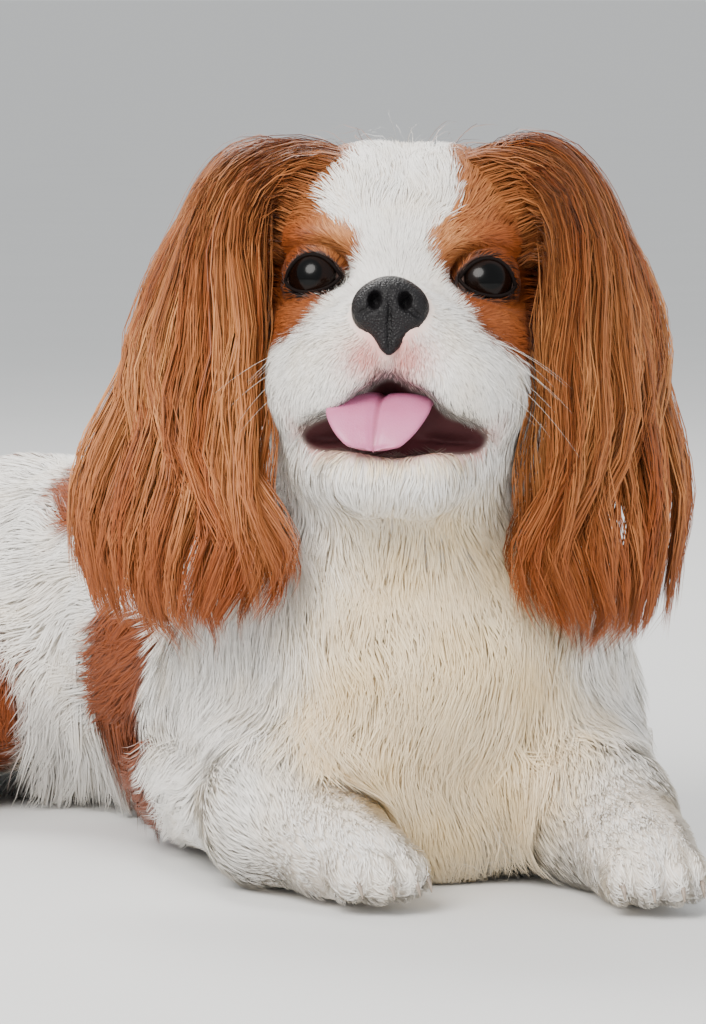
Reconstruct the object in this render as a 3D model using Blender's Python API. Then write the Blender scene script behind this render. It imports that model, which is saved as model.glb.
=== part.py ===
"""A Cavalier King Charles spaniel lying on the ground with its head up, as a still, life-size model.

Metres, +Z up. The head faces -Y, and the dog's own left is +X. The origin is on the flat under its chest.
The flesh is one set of smooth forms in space, cut into head, neck, torso, legs and tail along thin gaps.
The coat's long feathering is made of flat, tapered locks fused to the node that they grow from.
"""

import math
import random

import bmesh
import bpy
import numpy as np
from mathutils import Matrix, Vector
from mathutils.kdtree import KDTree

for obj in list(bpy.data.objects):
    bpy.data.objects.remove(obj)

GAP = 0.0004  # between neighbouring nodes

# Head, measured from the point midway between the eyes: to the dog's left, forward and up
EYE_SPACING = 0.0648
EYE_RADIUS = 0.0118
LID_RADIUS = EYE_RADIUS + 0.0018
EYE_CENTRE = (EYE_SPACING / 2, -0.0035, 0.0)
LID_HALF_WIDTH = 0.0104
LID_HALF_HEIGHT = 0.0068
SKULL_WIDTH = 0.100
SKULL_LENGTH = 0.112
SKULL_HEIGHT = 0.092
HEAD_PLACE = (0.0, -0.070, 0.234)
HEAD_PITCH = math.radians(15.0)
HEAD_YAW = math.radians(-2.0)
HEAD_ROLL = math.radians(1.2)

# Trunk, from the front of the chest to the rump, as centre and radius in the coat
TRUNK = (
    ((0.008, -0.032, 0.090), 0.061),
    ((0.000, 0.022, 0.092), 0.073),
    ((-0.045, 0.100, 0.082), 0.077),
    ((-0.100, 0.175, 0.077), 0.069),
    ((-0.160, 0.250, 0.073), 0.063),
    ((-0.188, 0.285, 0.070), 0.047),
)


def array(values):
    return np.array(values, dtype=float)


def length_of(vectors):
    return np.sqrt((vectors * vectors).sum(axis=-1))


def ellipsoid(p, centre, radii, turn=None):
    """Distance to an ellipsoid, near enough for blending. turn has its axes as columns."""
    q = p - array(centre)
    if turn is not None:
        q = q @ turn
    radii = array(radii)
    k0 = length_of(q / radii)
    k1 = length_of(q / (radii * radii))
    return k0 * (k0 - 1.0) / np.maximum(k1, 1e-9)


def limb(p, start, end, start_radius, end_radius):
    """Distance to a straight length with round ends, of one radius at its start and another at its end."""
    start, end = array(start), array(end)
    along = end - start
    t = np.clip(((p - start) @ along) / (along @ along), 0.0, 1.0)
    nearest = start + t[..., None] * along
    return length_of(p - nearest) - (start_radius + (end_radius - start_radius) * t)


def blend(a, b, softness):
    """The union of two forms, with a fillet about as wide as softness."""
    h = np.maximum(softness - np.abs(a - b), 0.0) / softness
    return np.minimum(a, b) - h * h * softness * 0.25


def carve(a, b, softness):
    """Form a with form b taken away, with a rounded rim."""
    return -blend(-a, b, softness)


def turned(pitch, yaw, roll):
    """The head's own axes, as columns: to its left, forward and up."""
    level = Matrix(((1, 0, 0), (0, -1, 0), (0, 0, 1)))
    turn = Matrix.Rotation(yaw, 3, "Z") @ Matrix.Rotation(-pitch, 3, "X") @ Matrix.Rotation(roll, 3, "Y")
    return array(turn @ level)


def slanted(degrees):
    """Axes of a form that leans out to the side as it goes down, as columns."""
    return array(Matrix.Rotation(math.radians(degrees), 3, "Y"))


PAD_TURN = slanted(-12.0)
HEAD_AXES = turned(HEAD_PITCH, HEAD_YAW, HEAD_ROLL)


def to_head(p):
    return (p - array(HEAD_PLACE)) @ HEAD_AXES


def from_head(q):
    return array(HEAD_PLACE) + HEAD_AXES @ array(q)


def mirrored(q):
    """Points folded onto the dog's left side, for forms that both sides share."""
    return np.stack((np.abs(q[..., 0]), q[..., 1], q[..., 2]), axis=-1)


def eye_axes():
    """The left eye's axes in the head, as columns: across, ahead and up. It looks a little to its side."""
    return array(Matrix.Rotation(math.radians(-14.0), 3, "Z") @ Matrix.Rotation(math.radians(4.0), 3, "Y"))


def almond(p, half_width, half_height):
    """Distance in an eye's front view to an almond shape, the overlap of two circles."""
    radius = (half_width**2 + half_height**2) / (2.0 * half_height)
    drop = radius - half_height
    upper = np.sqrt(p[..., 0] ** 2 + (p[..., 2] + drop) ** 2) - radius
    lower = np.sqrt(p[..., 0] ** 2 + (p[..., 2] - drop) ** 2) - radius
    return -blend(-upper, -lower, 0.002)


def head_field(p):
    q = to_head(p)
    m = mirrored(q)
    skull = ellipsoid(q, (0, -0.042, 0.008), (SKULL_WIDTH / 2, SKULL_LENGTH / 2, SKULL_HEIGHT / 2))
    crown = ellipsoid(m, (0.016, -0.036, 0.022), (0.033, 0.036, 0.031))
    cheek = ellipsoid(m, (0.0290, -0.0130, -0.0320), (0.0230, 0.0320, 0.0310))
    brow = ellipsoid(m, (0.0240, -0.0030, 0.0135), (0.0190, 0.0120, 0.0080))
    bridge = ellipsoid(q, (0, 0.0150, -0.0260), (0.0215, 0.0380, 0.0180))
    pad = ellipsoid(m, (0.0165, 0.0250, -0.0440), (0.0215, 0.0215, 0.0225), PAD_TURN)
    flews = ellipsoid(m, (0.0290, 0.0090, -0.0490), (0.0160, 0.0200, 0.0180))
    form = blend(skull, crown, 0.020)
    form = blend(form, cheek, 0.022)
    form = blend(form, brow, 0.012)
    form = blend(form, bridge, 0.016)
    form = blend(form, pad, 0.014)
    form = blend(form, flews, 0.016)
    jaw = limb(m, (0.024, -0.016, -0.062), (0.0115, 0.0230, -0.0815), 0.0200, 0.0125)
    chin = ellipsoid(q, (0, 0.0250, -0.0835), (0.0230, 0.0150, 0.0115))
    form = blend(form, blend(jaw, chin, 0.010), 0.006)
    gape = ellipsoid(q, (0, 0.0340, -0.0625), (0.0190, 0.0330, 0.0135))
    corners = ellipsoid(m, (0.0180, 0.0250, -0.0660), (0.0180, 0.0260, 0.0065))
    form = carve(form, blend(gape, corners, 0.006), 0.003)
    cleft = limb(q, (0, 0.056, -0.036), (0, 0.0475, -0.054), 0.0012, 0.0026)
    form = carve(form, cleft, 0.007)
    e = (m - array(EYE_CENTRE)) @ eye_axes()
    hollow = ellipsoid(e, (0, 0.004, 0), (0.0150, 0.0120, 0.0115))
    form = carve(form, hollow, 0.008)
    form = blend(form, ellipsoid(e, (0, 0, 0), (LID_RADIUS,) * 3), 0.005)
    opening = np.maximum(almond(e, LID_HALF_WIDTH, LID_HALF_HEIGHT), -0.001 - e[..., 1])
    return carve(form, opening, 0.0016)


def neck_field(p):
    nape = limb(p, from_head((0, -0.060, -0.012)), (0.004, 0.020, 0.120), 0.044, 0.062)
    throat = limb(p, from_head((0, -0.020, -0.062)), (0.008, -0.030, 0.108), 0.036, 0.052)
    return blend(nape, throat, 0.020)


def trunk_field(p):
    form = None
    for (start, start_radius), (end, end_radius) in zip(TRUNK, TRUNK[1:]):
        piece = limb(p, start, end, start_radius, end_radius)
        form = piece if form is None else blend(form, piece, 0.015)
    shoulder = limb(mirrored(p), (0.040, -0.022, 0.100), (0.046, 0.004, 0.060), 0.038, 0.034)
    form = blend(form, shoulder, 0.020)
    brisket = limb(p, (0.009, -0.046, 0.080), (0.011, -0.046, 0.029), 0.044, 0.030)
    keel = limb(p, (0.010, -0.040, 0.030), (-0.012, 0.040, 0.032), 0.032, 0.036)
    return blend(blend(form, brisket, 0.030), keel, 0.020)


def chain(p, joints, softness=0.012):
    """A limb of several lengths: joints are (place, radius) from its root to its tip."""
    form = None
    for (start, start_radius), (end, end_radius) in zip(joints, joints[1:]):
        piece = limb(p, start, end, start_radius, end_radius)
        form = piece if form is None else blend(form, piece, softness)
    return form


FORELEGS = {
    "left": (
        ((0.054, -0.010, 0.074), 0.028),
        ((0.058, 0.020, 0.046), 0.034),
        ((0.078, -0.074, 0.027), 0.025),
        ((0.088, -0.112, 0.020), 0.021),
    ),
    "right": (
        ((-0.056, -0.008, 0.072), 0.029),
        ((-0.066, 0.014, 0.042), 0.035),
        ((-0.046, -0.074, 0.028), 0.027),
        ((-0.026, -0.106, 0.021), 0.021),
    ),
}
PAWS = {
    "left": ((0.092, -0.130, 0.016), math.radians(12.0)),
    "right": ((-0.014, -0.124, 0.016), math.radians(32.0)),
}

HIND = {"left": 1.0, "right": -1.0}
HIP_PLACE = array((-0.160, 0.250, 0.0))
HIP_FORWARD = array((0.61, -0.793, 0.0))
HIP_LEFT = array((0.793, 0.61, 0.0))


def hind_point(side, forward, out, up):
    return HIP_PLACE + forward * HIP_FORWARD + side * out * HIP_LEFT + array((0, 0, up))


def hind_joints(side):
    return (
        (hind_point(side, 0.000, 0.052, 0.082), 0.037),
        (hind_point(side, 0.072, 0.072, 0.052), 0.034),
        (hind_point(side, -0.040, 0.082, 0.030), 0.022),
    )


def hind_foot(side):
    return (
        (hind_point(side, -0.040, 0.082, 0.026), 0.020),
        (hind_point(side, 0.050, 0.096, 0.016), 0.016),
    )


def paw_field(p, place, heading):
    """A paw resting flat, with four toes. heading turns its front from straight ahead, to the dog's left."""
    q = p - array(place)
    c, s = math.cos(heading), math.sin(heading)
    ahead = q[..., 0] * s - q[..., 1] * c
    side = q[..., 0] * c + q[..., 1] * s
    local = np.stack((side, ahead, q[..., 2]), axis=-1)
    form = ellipsoid(local, (0, -0.004, 0.002), (0.0190, 0.0260, 0.0175))
    for out, reach in ((-0.0135, 0.010), (-0.0050, 0.017), (0.0050, 0.017), (0.0135, 0.010)):
        toe = ellipsoid(local, (out, reach, -0.002), (0.0068, 0.0120, 0.0105))
        form = blend(form, toe, 0.004)
    return form


def foreleg_field(p, name):
    form = chain(p, FORELEGS[name])
    place, heading = PAWS[name]
    return blend(form, paw_field(p, place, heading), 0.010)


def hindleg_field(p, name):
    side = HIND[name]
    thigh = chain(p, hind_joints(side), 0.016)
    foot = chain(p, hind_foot(side))
    heading = math.atan2(HIP_FORWARD[0], -HIP_FORWARD[1]) + side * 0.15
    paw = paw_field(p, hind_point(side, 0.066, 0.100, 0.014), heading)
    return blend(blend(thigh, foot, 0.014), paw, 0.010)


TAIL = (
    ((-0.192, 0.292, 0.080), 0.024),
    ((-0.214, 0.330, 0.044), 0.020),
    ((-0.222, 0.368, 0.024), 0.019),
    ((-0.208, 0.406, 0.018), 0.016),
    ((-0.176, 0.432, 0.014), 0.011),
)


def tail_field(p):
    return chain(p, TAIL)


def flesh_field(p):
    form = blend(head_field(p), neck_field(p), 0.022)
    form = blend(form, trunk_field(p), 0.030)
    for name in FORELEGS:
        form = blend(form, foreleg_field(p, name), 0.016)
    for name in HIND:
        form = blend(form, hindleg_field(p, name), 0.014)
    return blend(form, tail_field(p), 0.014)


def sparse_values(field, lines, step, block=4, reach=2.5):
    """The field on a grid, worked out in full only in blocks that lie near its surface."""
    shape = [len(line) for line in lines]
    middles = [line[:: block] + step * (block - 1) / 2 for line in lines]
    coarse_grid = np.stack(np.meshgrid(*middles, indexing="ij"), axis=-1)
    value = field(coarse_grid.reshape(-1, 3)).reshape(coarse_grid.shape[:3])
    for axis in range(3):
        value = np.repeat(value, block, axis)
    value = value[: shape[0], : shape[1], : shape[2]].copy()
    near = np.abs(value) < step * block * reach / 2
    places = np.argwhere(near)
    value[near] = field(np.stack([lines[k][places[:, k]] for k in range(3)], axis=-1))
    return value


def surface(field, low, high, step):
    """The closed surface where field is zero inside a box, as points and quads.

    Each grid cell that the surface crosses gets one point, the mean of its edges' crossings.
    """
    low, high = array(low), array(high)
    lines = [np.arange(low[k], high[k] + step, step) for k in range(3)]
    shape = tuple(len(line) for line in lines)
    value = sparse_values(field, lines, step)
    cells = array(shape).astype(int) - 1
    sums = np.zeros((cells.prod(), 3))
    counts = np.zeros(cells.prod())
    quads = []
    for axis in range(3):
        u, w = (axis + 1) % 3, (axis + 2) % 3
        a = np.take(value, range(shape[axis] - 1), axis)
        b = np.take(value, range(1, shape[axis]), axis)
        crossed = np.argwhere((a < 0) != (b < 0))
        inner = (crossed[:, u] > 0) & (crossed[:, u] < shape[u] - 1)
        inner &= (crossed[:, w] > 0) & (crossed[:, w] < shape[w] - 1)
        crossed = crossed[inner]
        near = a[tuple(crossed.T)]
        far = b[tuple(crossed.T)]
        point = low + crossed * step
        point[:, axis] += step * near / (near - far)
        corners = []
        for du, dw in ((0, 0), (1, 0), (1, 1), (0, 1)):
            cell = crossed.copy()
            cell[:, u] -= du
            cell[:, w] -= dw
            index = (cell[:, 0] * cells[1] + cell[:, 1]) * cells[2] + cell[:, 2]
            for k in range(3):
                sums[:, k] += np.bincount(index, point[:, k], len(sums))
            counts += np.bincount(index, minlength=len(counts))
            corners.append(index)
        faces = np.stack(corners, axis=1)
        faces[near >= 0] = faces[near >= 0][:, ::-1]
        quads.append(faces)
    quads = np.concatenate(quads)
    used, quads = np.unique(quads, return_inverse=True)
    return sums[used] / counts[used][:, None], quads.reshape(-1, 4)


NECK_TOP = (from_head((0, -0.045, -0.066)), HEAD_AXES @ array((0, -0.66, -0.75)))
NECK_FOOT = (array((0, -0.005, 0.1443)), array((0, 0.212, -0.977)))


def beyond(p, cut, shift=0.0):
    """How far points lie beyond a cutting plane, on the side that its normal points to."""
    place, normal = cut
    return (p - place) @ (normal / length_of(normal)) - shift


SAME_PLACE = 0.000003  # corners nearer than this count as one


def applied(obj):
    """Turn an object's modifiers into its mesh."""
    graph = bpy.context.evaluated_depsgraph_get()
    mesh = bpy.data.meshes.new_from_object(obj.evaluated_get(graph))
    obj.modifiers.clear()
    obj.data = mesh
    return obj


def solid(name, points, faces):
    mesh = bpy.data.meshes.new(name)
    mesh.from_pydata([tuple(point) for point in points], [], [tuple(face) for face in faces])
    obj = bpy.data.objects.new(name, mesh)
    bpy.context.scene.collection.objects.link(obj)
    return obj


def thinned(obj, triangles):
    """The same form in fewer triangles."""
    count = sum(len(face.vertices) - 2 for face in obj.data.polygons)
    modifier = obj.modifiers.new("fewer", "DECIMATE")
    modifier.ratio = min(1.0, triangles / count)
    return applied(obj)


def copied(obj, name):
    twin = bpy.data.objects.new(name, obj.data.copy())
    bpy.context.scene.collection.objects.link(twin)
    return twin


def removed(obj):
    bpy.data.objects.remove(obj)


def in_triangles(mesh):
    """The mesh in triangles, split in the first of several ways that leaves every edge between two faces."""
    for dissolve in (True, False):
        for quad_method in ("BEAUTY", "SHORT_EDGE", "FIXED", "ALTERNATE"):
            for ngon_method in ("BEAUTY", "EAR_CLIP"):
                bm = bmesh.new()
                bm.from_mesh(mesh)
                if dissolve:
                    bmesh.ops.dissolve_degenerate(bm, edges=bm.edges, dist=SAME_PLACE / 2)
                bmesh.ops.triangulate(bm, faces=bm.faces, quad_method=quad_method, ngon_method=ngon_method)
                if all(len(edge.link_faces) == 2 for edge in bm.edges):
                    return bm
    return bm


def largest_surface(obj):
    """Keep only an object's largest closed surface, in triangles, without the voids that it shuts in."""
    bm = in_triangles(obj.data)
    seen = set()
    groups = []
    for start in bm.faces:
        if start in seen:
            continue
        seen.add(start)
        group, queue = [], [start]
        while queue:
            face = queue.pop()
            group.append(face)
            for edge in face.edges:
                if len(edge.link_faces) != 2:
                    continue
                for other in edge.link_faces:
                    if other not in seen:
                        seen.add(other)
                        queue.append(other)
        groups.append(group)
    groups.sort(key=len)
    smaller = [face for group in groups[:-1] for face in group]
    bmesh.ops.delete(bm, geom=smaller, context="FACES")
    bm.to_mesh(obj.data)
    bm.free()
    return obj


def combined(obj, other, operation):
    """Cut an object with another one, or keep what both share. The other one stays as it is."""
    modifier = obj.modifiers.new(operation.lower(), "BOOLEAN")
    modifier.operation = operation
    modifier.solver = "MANIFOLD"
    modifier.object = other
    return applied(obj)


def swelled(obj, name, distance=GAP):
    """A copy of a solid with its whole surface moved outward."""
    twin = copied(obj, name)
    bm = bmesh.new()
    bm.from_mesh(twin.data)
    bm.normal_update()
    shifts = [(vert, vert.normal * distance * min(vert.calc_shell_factor(), 2.0)) for vert in bm.verts]
    for vert, shift in shifts:
        vert.co += shift
    bm.to_mesh(twin.data)
    bm.free()
    return twin


def seat(host, piece):
    """Cut the place for a piece out of its host, with a thin gap all round."""
    cutter = swelled(piece, "seat")
    combined(host, cutter, "DIFFERENCE")
    removed(cutter)
    return largest_surface(host)


def trimmed(host, piece):
    """Trim what a host's locks put into a piece's place. The gaps left by seat stay as they are."""
    cutter = swelled(piece, "trim", 0.75 * GAP)
    combined(host, cutter, "DIFFERENCE")
    removed(cutter)
    return largest_surface(host)


def cut_off(obj, cut, shift=0.0):
    """Take away everything beyond a plane."""
    place, normal = cut
    normal = Vector(normal).normalized()
    bm = bmesh.new()
    bmesh.ops.create_cube(bm, size=1.2)
    frame = normal.to_track_quat("Z", "Y").to_matrix().to_4x4()
    frame.translation = Vector(place) + normal * (0.6 + shift)
    bm.transform(frame)
    mesh = bpy.data.meshes.new("beyond")
    bm.to_mesh(mesh)
    bm.free()
    cutter = bpy.data.objects.new("beyond", mesh)
    bpy.context.scene.collection.objects.link(cutter)
    combined(obj, cutter, "DIFFERENCE")
    removed(cutter)
    return largest_surface(obj)


def reverse_of(cut):
    return (cut[0], -array(cut[1]))


def extracted(name, field, low, high, step, triangles):
    points, quads = surface(field, low, high, step)
    return thinned(solid(name, points, quads), triangles)


def loft(name, rings):
    """A closed solid through rings of points, all with the same count, with a cap at each end."""
    count = len(rings[0])
    points = [point for ring in rings for point in ring]
    faces = []
    for r in range(len(rings) - 1):
        for k in range(count):
            a = r * count + k
            b = r * count + (k + 1) % count
            faces.append((a, b, b + count, a + count))
    faces.append(tuple(reversed(range(count))))
    last = (len(rings) - 1) * count
    faces.append(tuple(last + k for k in range(count)))
    obj = solid(name, points, faces)
    bm = bmesh.new()
    bm.from_mesh(obj.data)
    bmesh.ops.recalc_face_normals(bm, faces=bm.faces)
    bm.to_mesh(obj.data)
    bm.free()
    return obj


def spline(values, t):
    """A smooth curve through values at even steps, for t from 0 to 1."""
    values = array(values)
    last = len(values) - 1
    position = min(max(t, 0.0), 1.0) * last
    k = min(int(position), last - 1)
    f = position - k
    a, b = values[max(k - 1, 0)], values[k]
    c, d = values[k + 1], values[min(k + 2, last)]
    return 0.5 * (2 * b + (c - a) * f + (2 * a - 5 * b + 4 * c - d) * f**2 + (3 * b - a - 3 * c + d) * f**3)


LOCK_THICKNESS = 0.0022
EAR_LOCK_THICKNESS = 0.0016
ROOT_DEPTH = 0.0038  # of a lock's root in the flesh
FLOOR_CLEARANCE = 0.0045  # of the middle of a lock
EDGE_FLOOR_CLEARANCE = 0.0015  # of a lock's edges
EDGE_CLEARANCE = 0.0025  # of a lock's edge from another node's flesh
LONG_STATIONS = (0.0, 0.18, 0.40, 0.63, 0.86, 1.0)
SHORT_STATIONS = (0.0, 0.26, 0.54, 0.82, 1.0)


def lock_width(s):
    """A lock's width at s along it, as a share of its full width. It narrows to its root and its tip."""
    return min(1.0, 0.45 + 2.2 * s) * min(1.0, (1.0 - s) / 0.26) ** 0.7


def lock(centres, stations, half_width, half_thickness):
    """A flat, tapered lock through centres, each a point and the direction off the body there."""
    points = []
    places = [place for place, _ in centres]
    for k, (place, out) in enumerate(centres[:-1]):
        along = places[k + 1] - places[max(k - 1, 0)]
        across = np.cross(along, out)
        across = across / length_of(across) * half_width * lock_width(stations[k])
        out = np.cross(across, along)
        out = out / length_of(out) * half_thickness * (1.0 if k else 1.3)
        points += [place + across, place + out, place - across, place - out]
    points.append(places[-1])
    for point in points:
        point[2] = max(point[2], EDGE_FLOOR_CLEARANCE)
    tip = len(points) - 1
    faces = [(0, 1, 2, 3)]
    for k in range(len(centres) - 2):
        for c in range(4):
            a, b = 4 * k + c, 4 * k + (c + 1) % 4
            faces += [(a, a + 4, b + 4), (a, b + 4, b)]
    faces += [(tip - 4 + c, tip, tip - 4 + (c + 1) % 4) for c in range(4)]
    return points, faces


def coated(node, locks):
    """Fuse locks to the node that they grow from."""
    group = bpy.data.collections.new("locks")
    for points, faces in locks:
        piece = solid("lock", points, faces)
        group.objects.link(piece)
    modifier = node.modifiers.new("locks", "BOOLEAN")
    modifier.operation = "UNION"
    modifier.solver = "MANIFOLD"
    modifier.operand_type = "COLLECTION"
    modifier.collection = group
    applied(node)
    for piece in list(group.objects):
        removed(piece)
    bpy.data.collections.remove(group)
    return largest_surface(node)


def slope(field, point):
    """The direction in which a field grows fastest at a point."""
    moves = np.eye(3) * 0.0006
    value = field(np.concatenate((point + moves, point - moves)))
    gradient = value[:3] - value[3:]
    return gradient / length_of(gradient)


def lifted(point, lift):
    """The place that is lift away from the flesh, nearest to a point, and the direction off the flesh."""
    for _ in range(3):
        out = slope(flesh_field, point)
        point = point + out * (lift - flesh_field(point[None])[0])
    return point, out


def owner(point):
    """The node whose flesh a point belongs to."""
    p = array(point)[None]
    if beyond(p, NECK_TOP)[0] < 0:
        return "head"
    if beyond(p, NECK_FOOT)[0] < 0:
        return "neck"
    for name, field in LIMB_FIELDS.items():
        if field(p)[0] < LIMB_REACH:
            return name
    return "torso"


LAID = []  # samples along the locks laid so far: node, place, direction off the body, half width


def samples(centres, half_width):
    """Places along a short lock, with the direction off the body and the half width there."""
    spots = []
    for k in range(1, len(centres) - 1):
        (place, out), (later, _) = centres[k], centres[k + 1]
        here, beyond_it = SHORT_STATIONS[k], SHORT_STATIONS[k + 1]
        spots.append((place, out, half_width * lock_width(here)))
        spots.append(((place + later) / 2, out, half_width * lock_width((here + beyond_it) / 2)))
    return spots


def clear(node, centres, half_width):
    """Whether a lock keeps clear of the locks that other nodes carry."""
    for point, _, width in samples(centres, half_width):
        for other, place, out, other_width in LAID:
            if other == node:
                continue
            away = point - place
            height = abs(away @ out)
            sideways = length_of(away - out * (away @ out))
            if height < 0.0034 and sideways < width + other_width + 0.0015:
                return False
    return True


def laid(node, centres, half_width, half_thickness):
    """Put a lock on its node's list and keep its place clear."""
    LAID.extend((node,) + spot for spot in samples(centres, half_width))
    coats[node].append(lock(centres, SHORT_STATIONS, half_width, half_thickness))


def body_lock(start, heading, length, half_width, lift, bend=0.0, hanging=False):
    """Grow a lock from the flesh nearest to start, where it has room.

    It lies along the flesh. A hanging one keeps its heading and leaves the flesh.
    """
    root, out = lifted(array(start), -ROOT_DEPTH)
    root[2] = max(root[2], 0.006)
    heading = array(heading) / length_of(array(heading))
    side = np.cross(out, heading)
    side = side / length_of(side)
    edges = (root, root + side * half_width * 0.5, root - side * half_width * 0.5)
    edges += (root + heading * 0.005, root - heading * 0.004, root - out * 0.003)
    node = owner(root)
    if any(owner(edge) != node for edge in edges) or node not in coats:
        return
    for raised in (0.0, 0.0030, 0.0060):
        point = root
        centres = [(point, out)]
        direction = heading
        apart = True
        for before, s in zip(SHORT_STATIONS, SHORT_STATIONS[1:]):
            direction = direction + side * bend * (s - before) * math.cos(3.0 * math.pi * s)
            off = centres[-1][1]
            if not hanging:
                direction = direction - off * (direction @ off)
            direction = direction / length_of(direction)
            height = (lift + raised) * min(1.0, 0.45 + 1.4 * s)
            point = point + direction * length * (s - before)
            if not hanging or flesh_field(point[None])[0] < height:
                point, off = lifted(point, height)
            across = np.cross(direction, off) * half_width * lock_width(s)
            for edge in (point, point + across, point - across):
                near = flesh_field(edge[None])[0]
                apart = apart and (near > EDGE_CLEARANCE or owner(edge) == node)
            point[2] = max(point[2], FLOOR_CLEARANCE + raised)
            centres.append((point, off))
        if apart and clear(node, centres, half_width):
            laid(node, centres, half_width, LOCK_THICKNESS / 2)
            return


def parted(bm, distance=0.0001):
    """Draw back corners that coincide but share no edge, so that no wall is thinner than nothing."""
    tree = KDTree(len(bm.verts))
    for vert in bm.verts:
        tree.insert(vert.co, vert.index)
    tree.balance()
    bm.normal_update()
    pinched = [vert for vert in bm.verts if len(tree.find_range(vert.co, SAME_PLACE)) > 1]
    for vert in pinched:
        vert.co -= vert.normal * distance


def finished(obj, colour, roughness):
    """Give a node its material and smooth shading."""
    material = bpy.data.materials.new(obj.name)
    material.use_nodes = True
    shader = material.node_tree.nodes["Principled BSDF"]
    shader.inputs["Base Color"].default_value = (*colour, 1.0)
    shader.inputs["Roughness"].default_value = roughness
    shader.inputs["Metallic"].default_value = 0.0
    obj.data.materials.clear()
    obj.data.materials.append(material)
    obj.data.name = obj.name
    largest_surface(obj)
    bm = bmesh.new()
    bm.from_mesh(obj.data)
    parted(bm)
    bm.to_mesh(obj.data)
    bm.free()
    obj.data.shade_smooth()
    return obj


# Colours of the coat and skin, linear, from the photo's light areas
WHITE = (0.80, 0.76, 0.68)
CREAM = (0.78, 0.70, 0.56)
CHESTNUT = (0.36, 0.115, 0.035)
BLACK = (0.012, 0.011, 0.012)
EYE = (0.010, 0.005, 0.003)
PINK = (0.66, 0.27, 0.34)
COAT_ROUGHNESS = 0.75

# Head: everything in front of the neck's upper cut. A step is the spacing of the grid that finds a surface.
HEAD_STEP = 0.0022
HEAD_TRIANGLES = 2100
head = extracted(
    "head",
    lambda p: np.maximum(flesh_field(p), beyond(p, NECK_TOP, 0.006)),
    (-0.066, -0.150, 0.120), (0.066, 0.050, 0.305), HEAD_STEP, HEAD_TRIANGLES,
)
cut_off(head, NECK_TOP, -GAP / 2)

# Body: trunk, neck, legs and tail in one form, cut off at the ground
GROUND = (array((0, 0, 0)), array((0, 0, -1.0)))
BODY_STEP = 0.0045
BODY_TRIANGLES = 2600
body = extracted(
    "body",
    lambda p: np.maximum(
        np.maximum(flesh_field(p), beyond(p, reverse_of(NECK_TOP), 0.008)), beyond(p, GROUND, 0.006)
    ),
    (-0.320, -0.180, -0.016), (0.160, 0.470, 0.240), BODY_STEP, BODY_TRIANGLES,
)
cut_off(body, GROUND)

# Neck: the wedge between head and trunk
neck = copied(body, "neck")
cut_off(neck, reverse_of(NECK_TOP), -GAP / 2)
cut_off(neck, NECK_FOOT, -GAP / 2)

torso = copied(body, "torso")
cut_off(torso, reverse_of(NECK_FOOT), -GAP / 2)
removed(body)

# Legs and tail: what lies within a few millimetres of their own forms
LIMB_REACH = 0.004
LIMB_STEP = 0.008
LIMB_TRIANGLES = 150
LIMB_FIELDS = {
    "foreleg_left": lambda p: foreleg_field(p, "left"),
    "foreleg_right": lambda p: foreleg_field(p, "right"),
    "hindleg_left": lambda p: hindleg_field(p, "left"),
    "hindleg_right": lambda p: hindleg_field(p, "right"),
    "tail": tail_field,
}
nodes = {"neck": neck, "torso": torso}
for name, field in LIMB_FIELDS.items():
    cutter = extracted(
        "around", lambda p: field(p) - LIMB_REACH,
        (-0.340, -0.190, -0.050), (0.160, 0.480, 0.180), LIMB_STEP, LIMB_TRIANGLES,
    )
    node = copied(torso, name)
    combined(node, cutter, "INTERSECT")
    nodes[name] = largest_surface(node)
    seat(torso, cutter)
    removed(cutter)

coats = {name: [] for name in nodes}
draw = random.Random("coat")

# Chest: rows of locks round the front, from the breastbone up to the throat
CHEST_AXIS = array((0.008, -0.010, 0))
CHEST_ROWS = (
    # height, locks, widest angle to each side, length, lift
    (0.034, 3, 20, 0.026, 0.0034),
    (0.054, 4, 32, 0.034, 0.0038),
    (0.075, 5, 44, 0.038, 0.0042),
    (0.097, 8, 70, 0.040, 0.0048),
    (0.118, 8, 70, 0.042, 0.0054),
)
CHEST_LOCK = 0.0128  # half width
for height, count, widest, length, lift in CHEST_ROWS:
    for i in range(count):
        angle = math.radians(widest * (-1 + 2 * i / (count - 1)) + draw.uniform(-3, 3))
        aim = array((math.sin(angle), -math.cos(angle), 0))
        start = CHEST_AXIS + aim * 0.080 + array((0, 0, height + draw.uniform(-0.002, 0.002)))
        heading = (-0.15 * math.sin(angle), 0, -1.0)
        reach = length * draw.uniform(0.92, 1.12)
        bend = draw.uniform(-1.0, 1.0)
        if owner(lifted(start, -LIMB_REACH)[0]) == "torso":
            body_lock(start, heading, reach, CHEST_LOCK, lift + 0.0014 * (i % 2), bend)

# Forelegs: feathering on the back of the forearm, swept back and down
for name, outer in (("left", 1.0), ("right", -1.0)):
    elbow, wrist = array(FORELEGS[name][1][0]), array(FORELEGS[name][2][0])
    along = (wrist - elbow) / length_of(wrist - elbow)
    side = np.cross(along, (0, 0, 1.0))
    side = side / length_of(side) * (1.0 if side[0] * outer > 0 else -1.0)
    for i in range(5):
        start = elbow + (wrist - elbow) * (0.02 + 0.16 * i) + side * 0.034
        start[2] = 0.030 + 0.004 * (i % 2)
        heading = -0.80 * along + 0.42 * side + array((0, 0, -0.45))
        body_lock(start, heading, 0.046, 0.0120, 0.0034 + 0.0014 * (i % 2), hanging=True)

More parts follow.
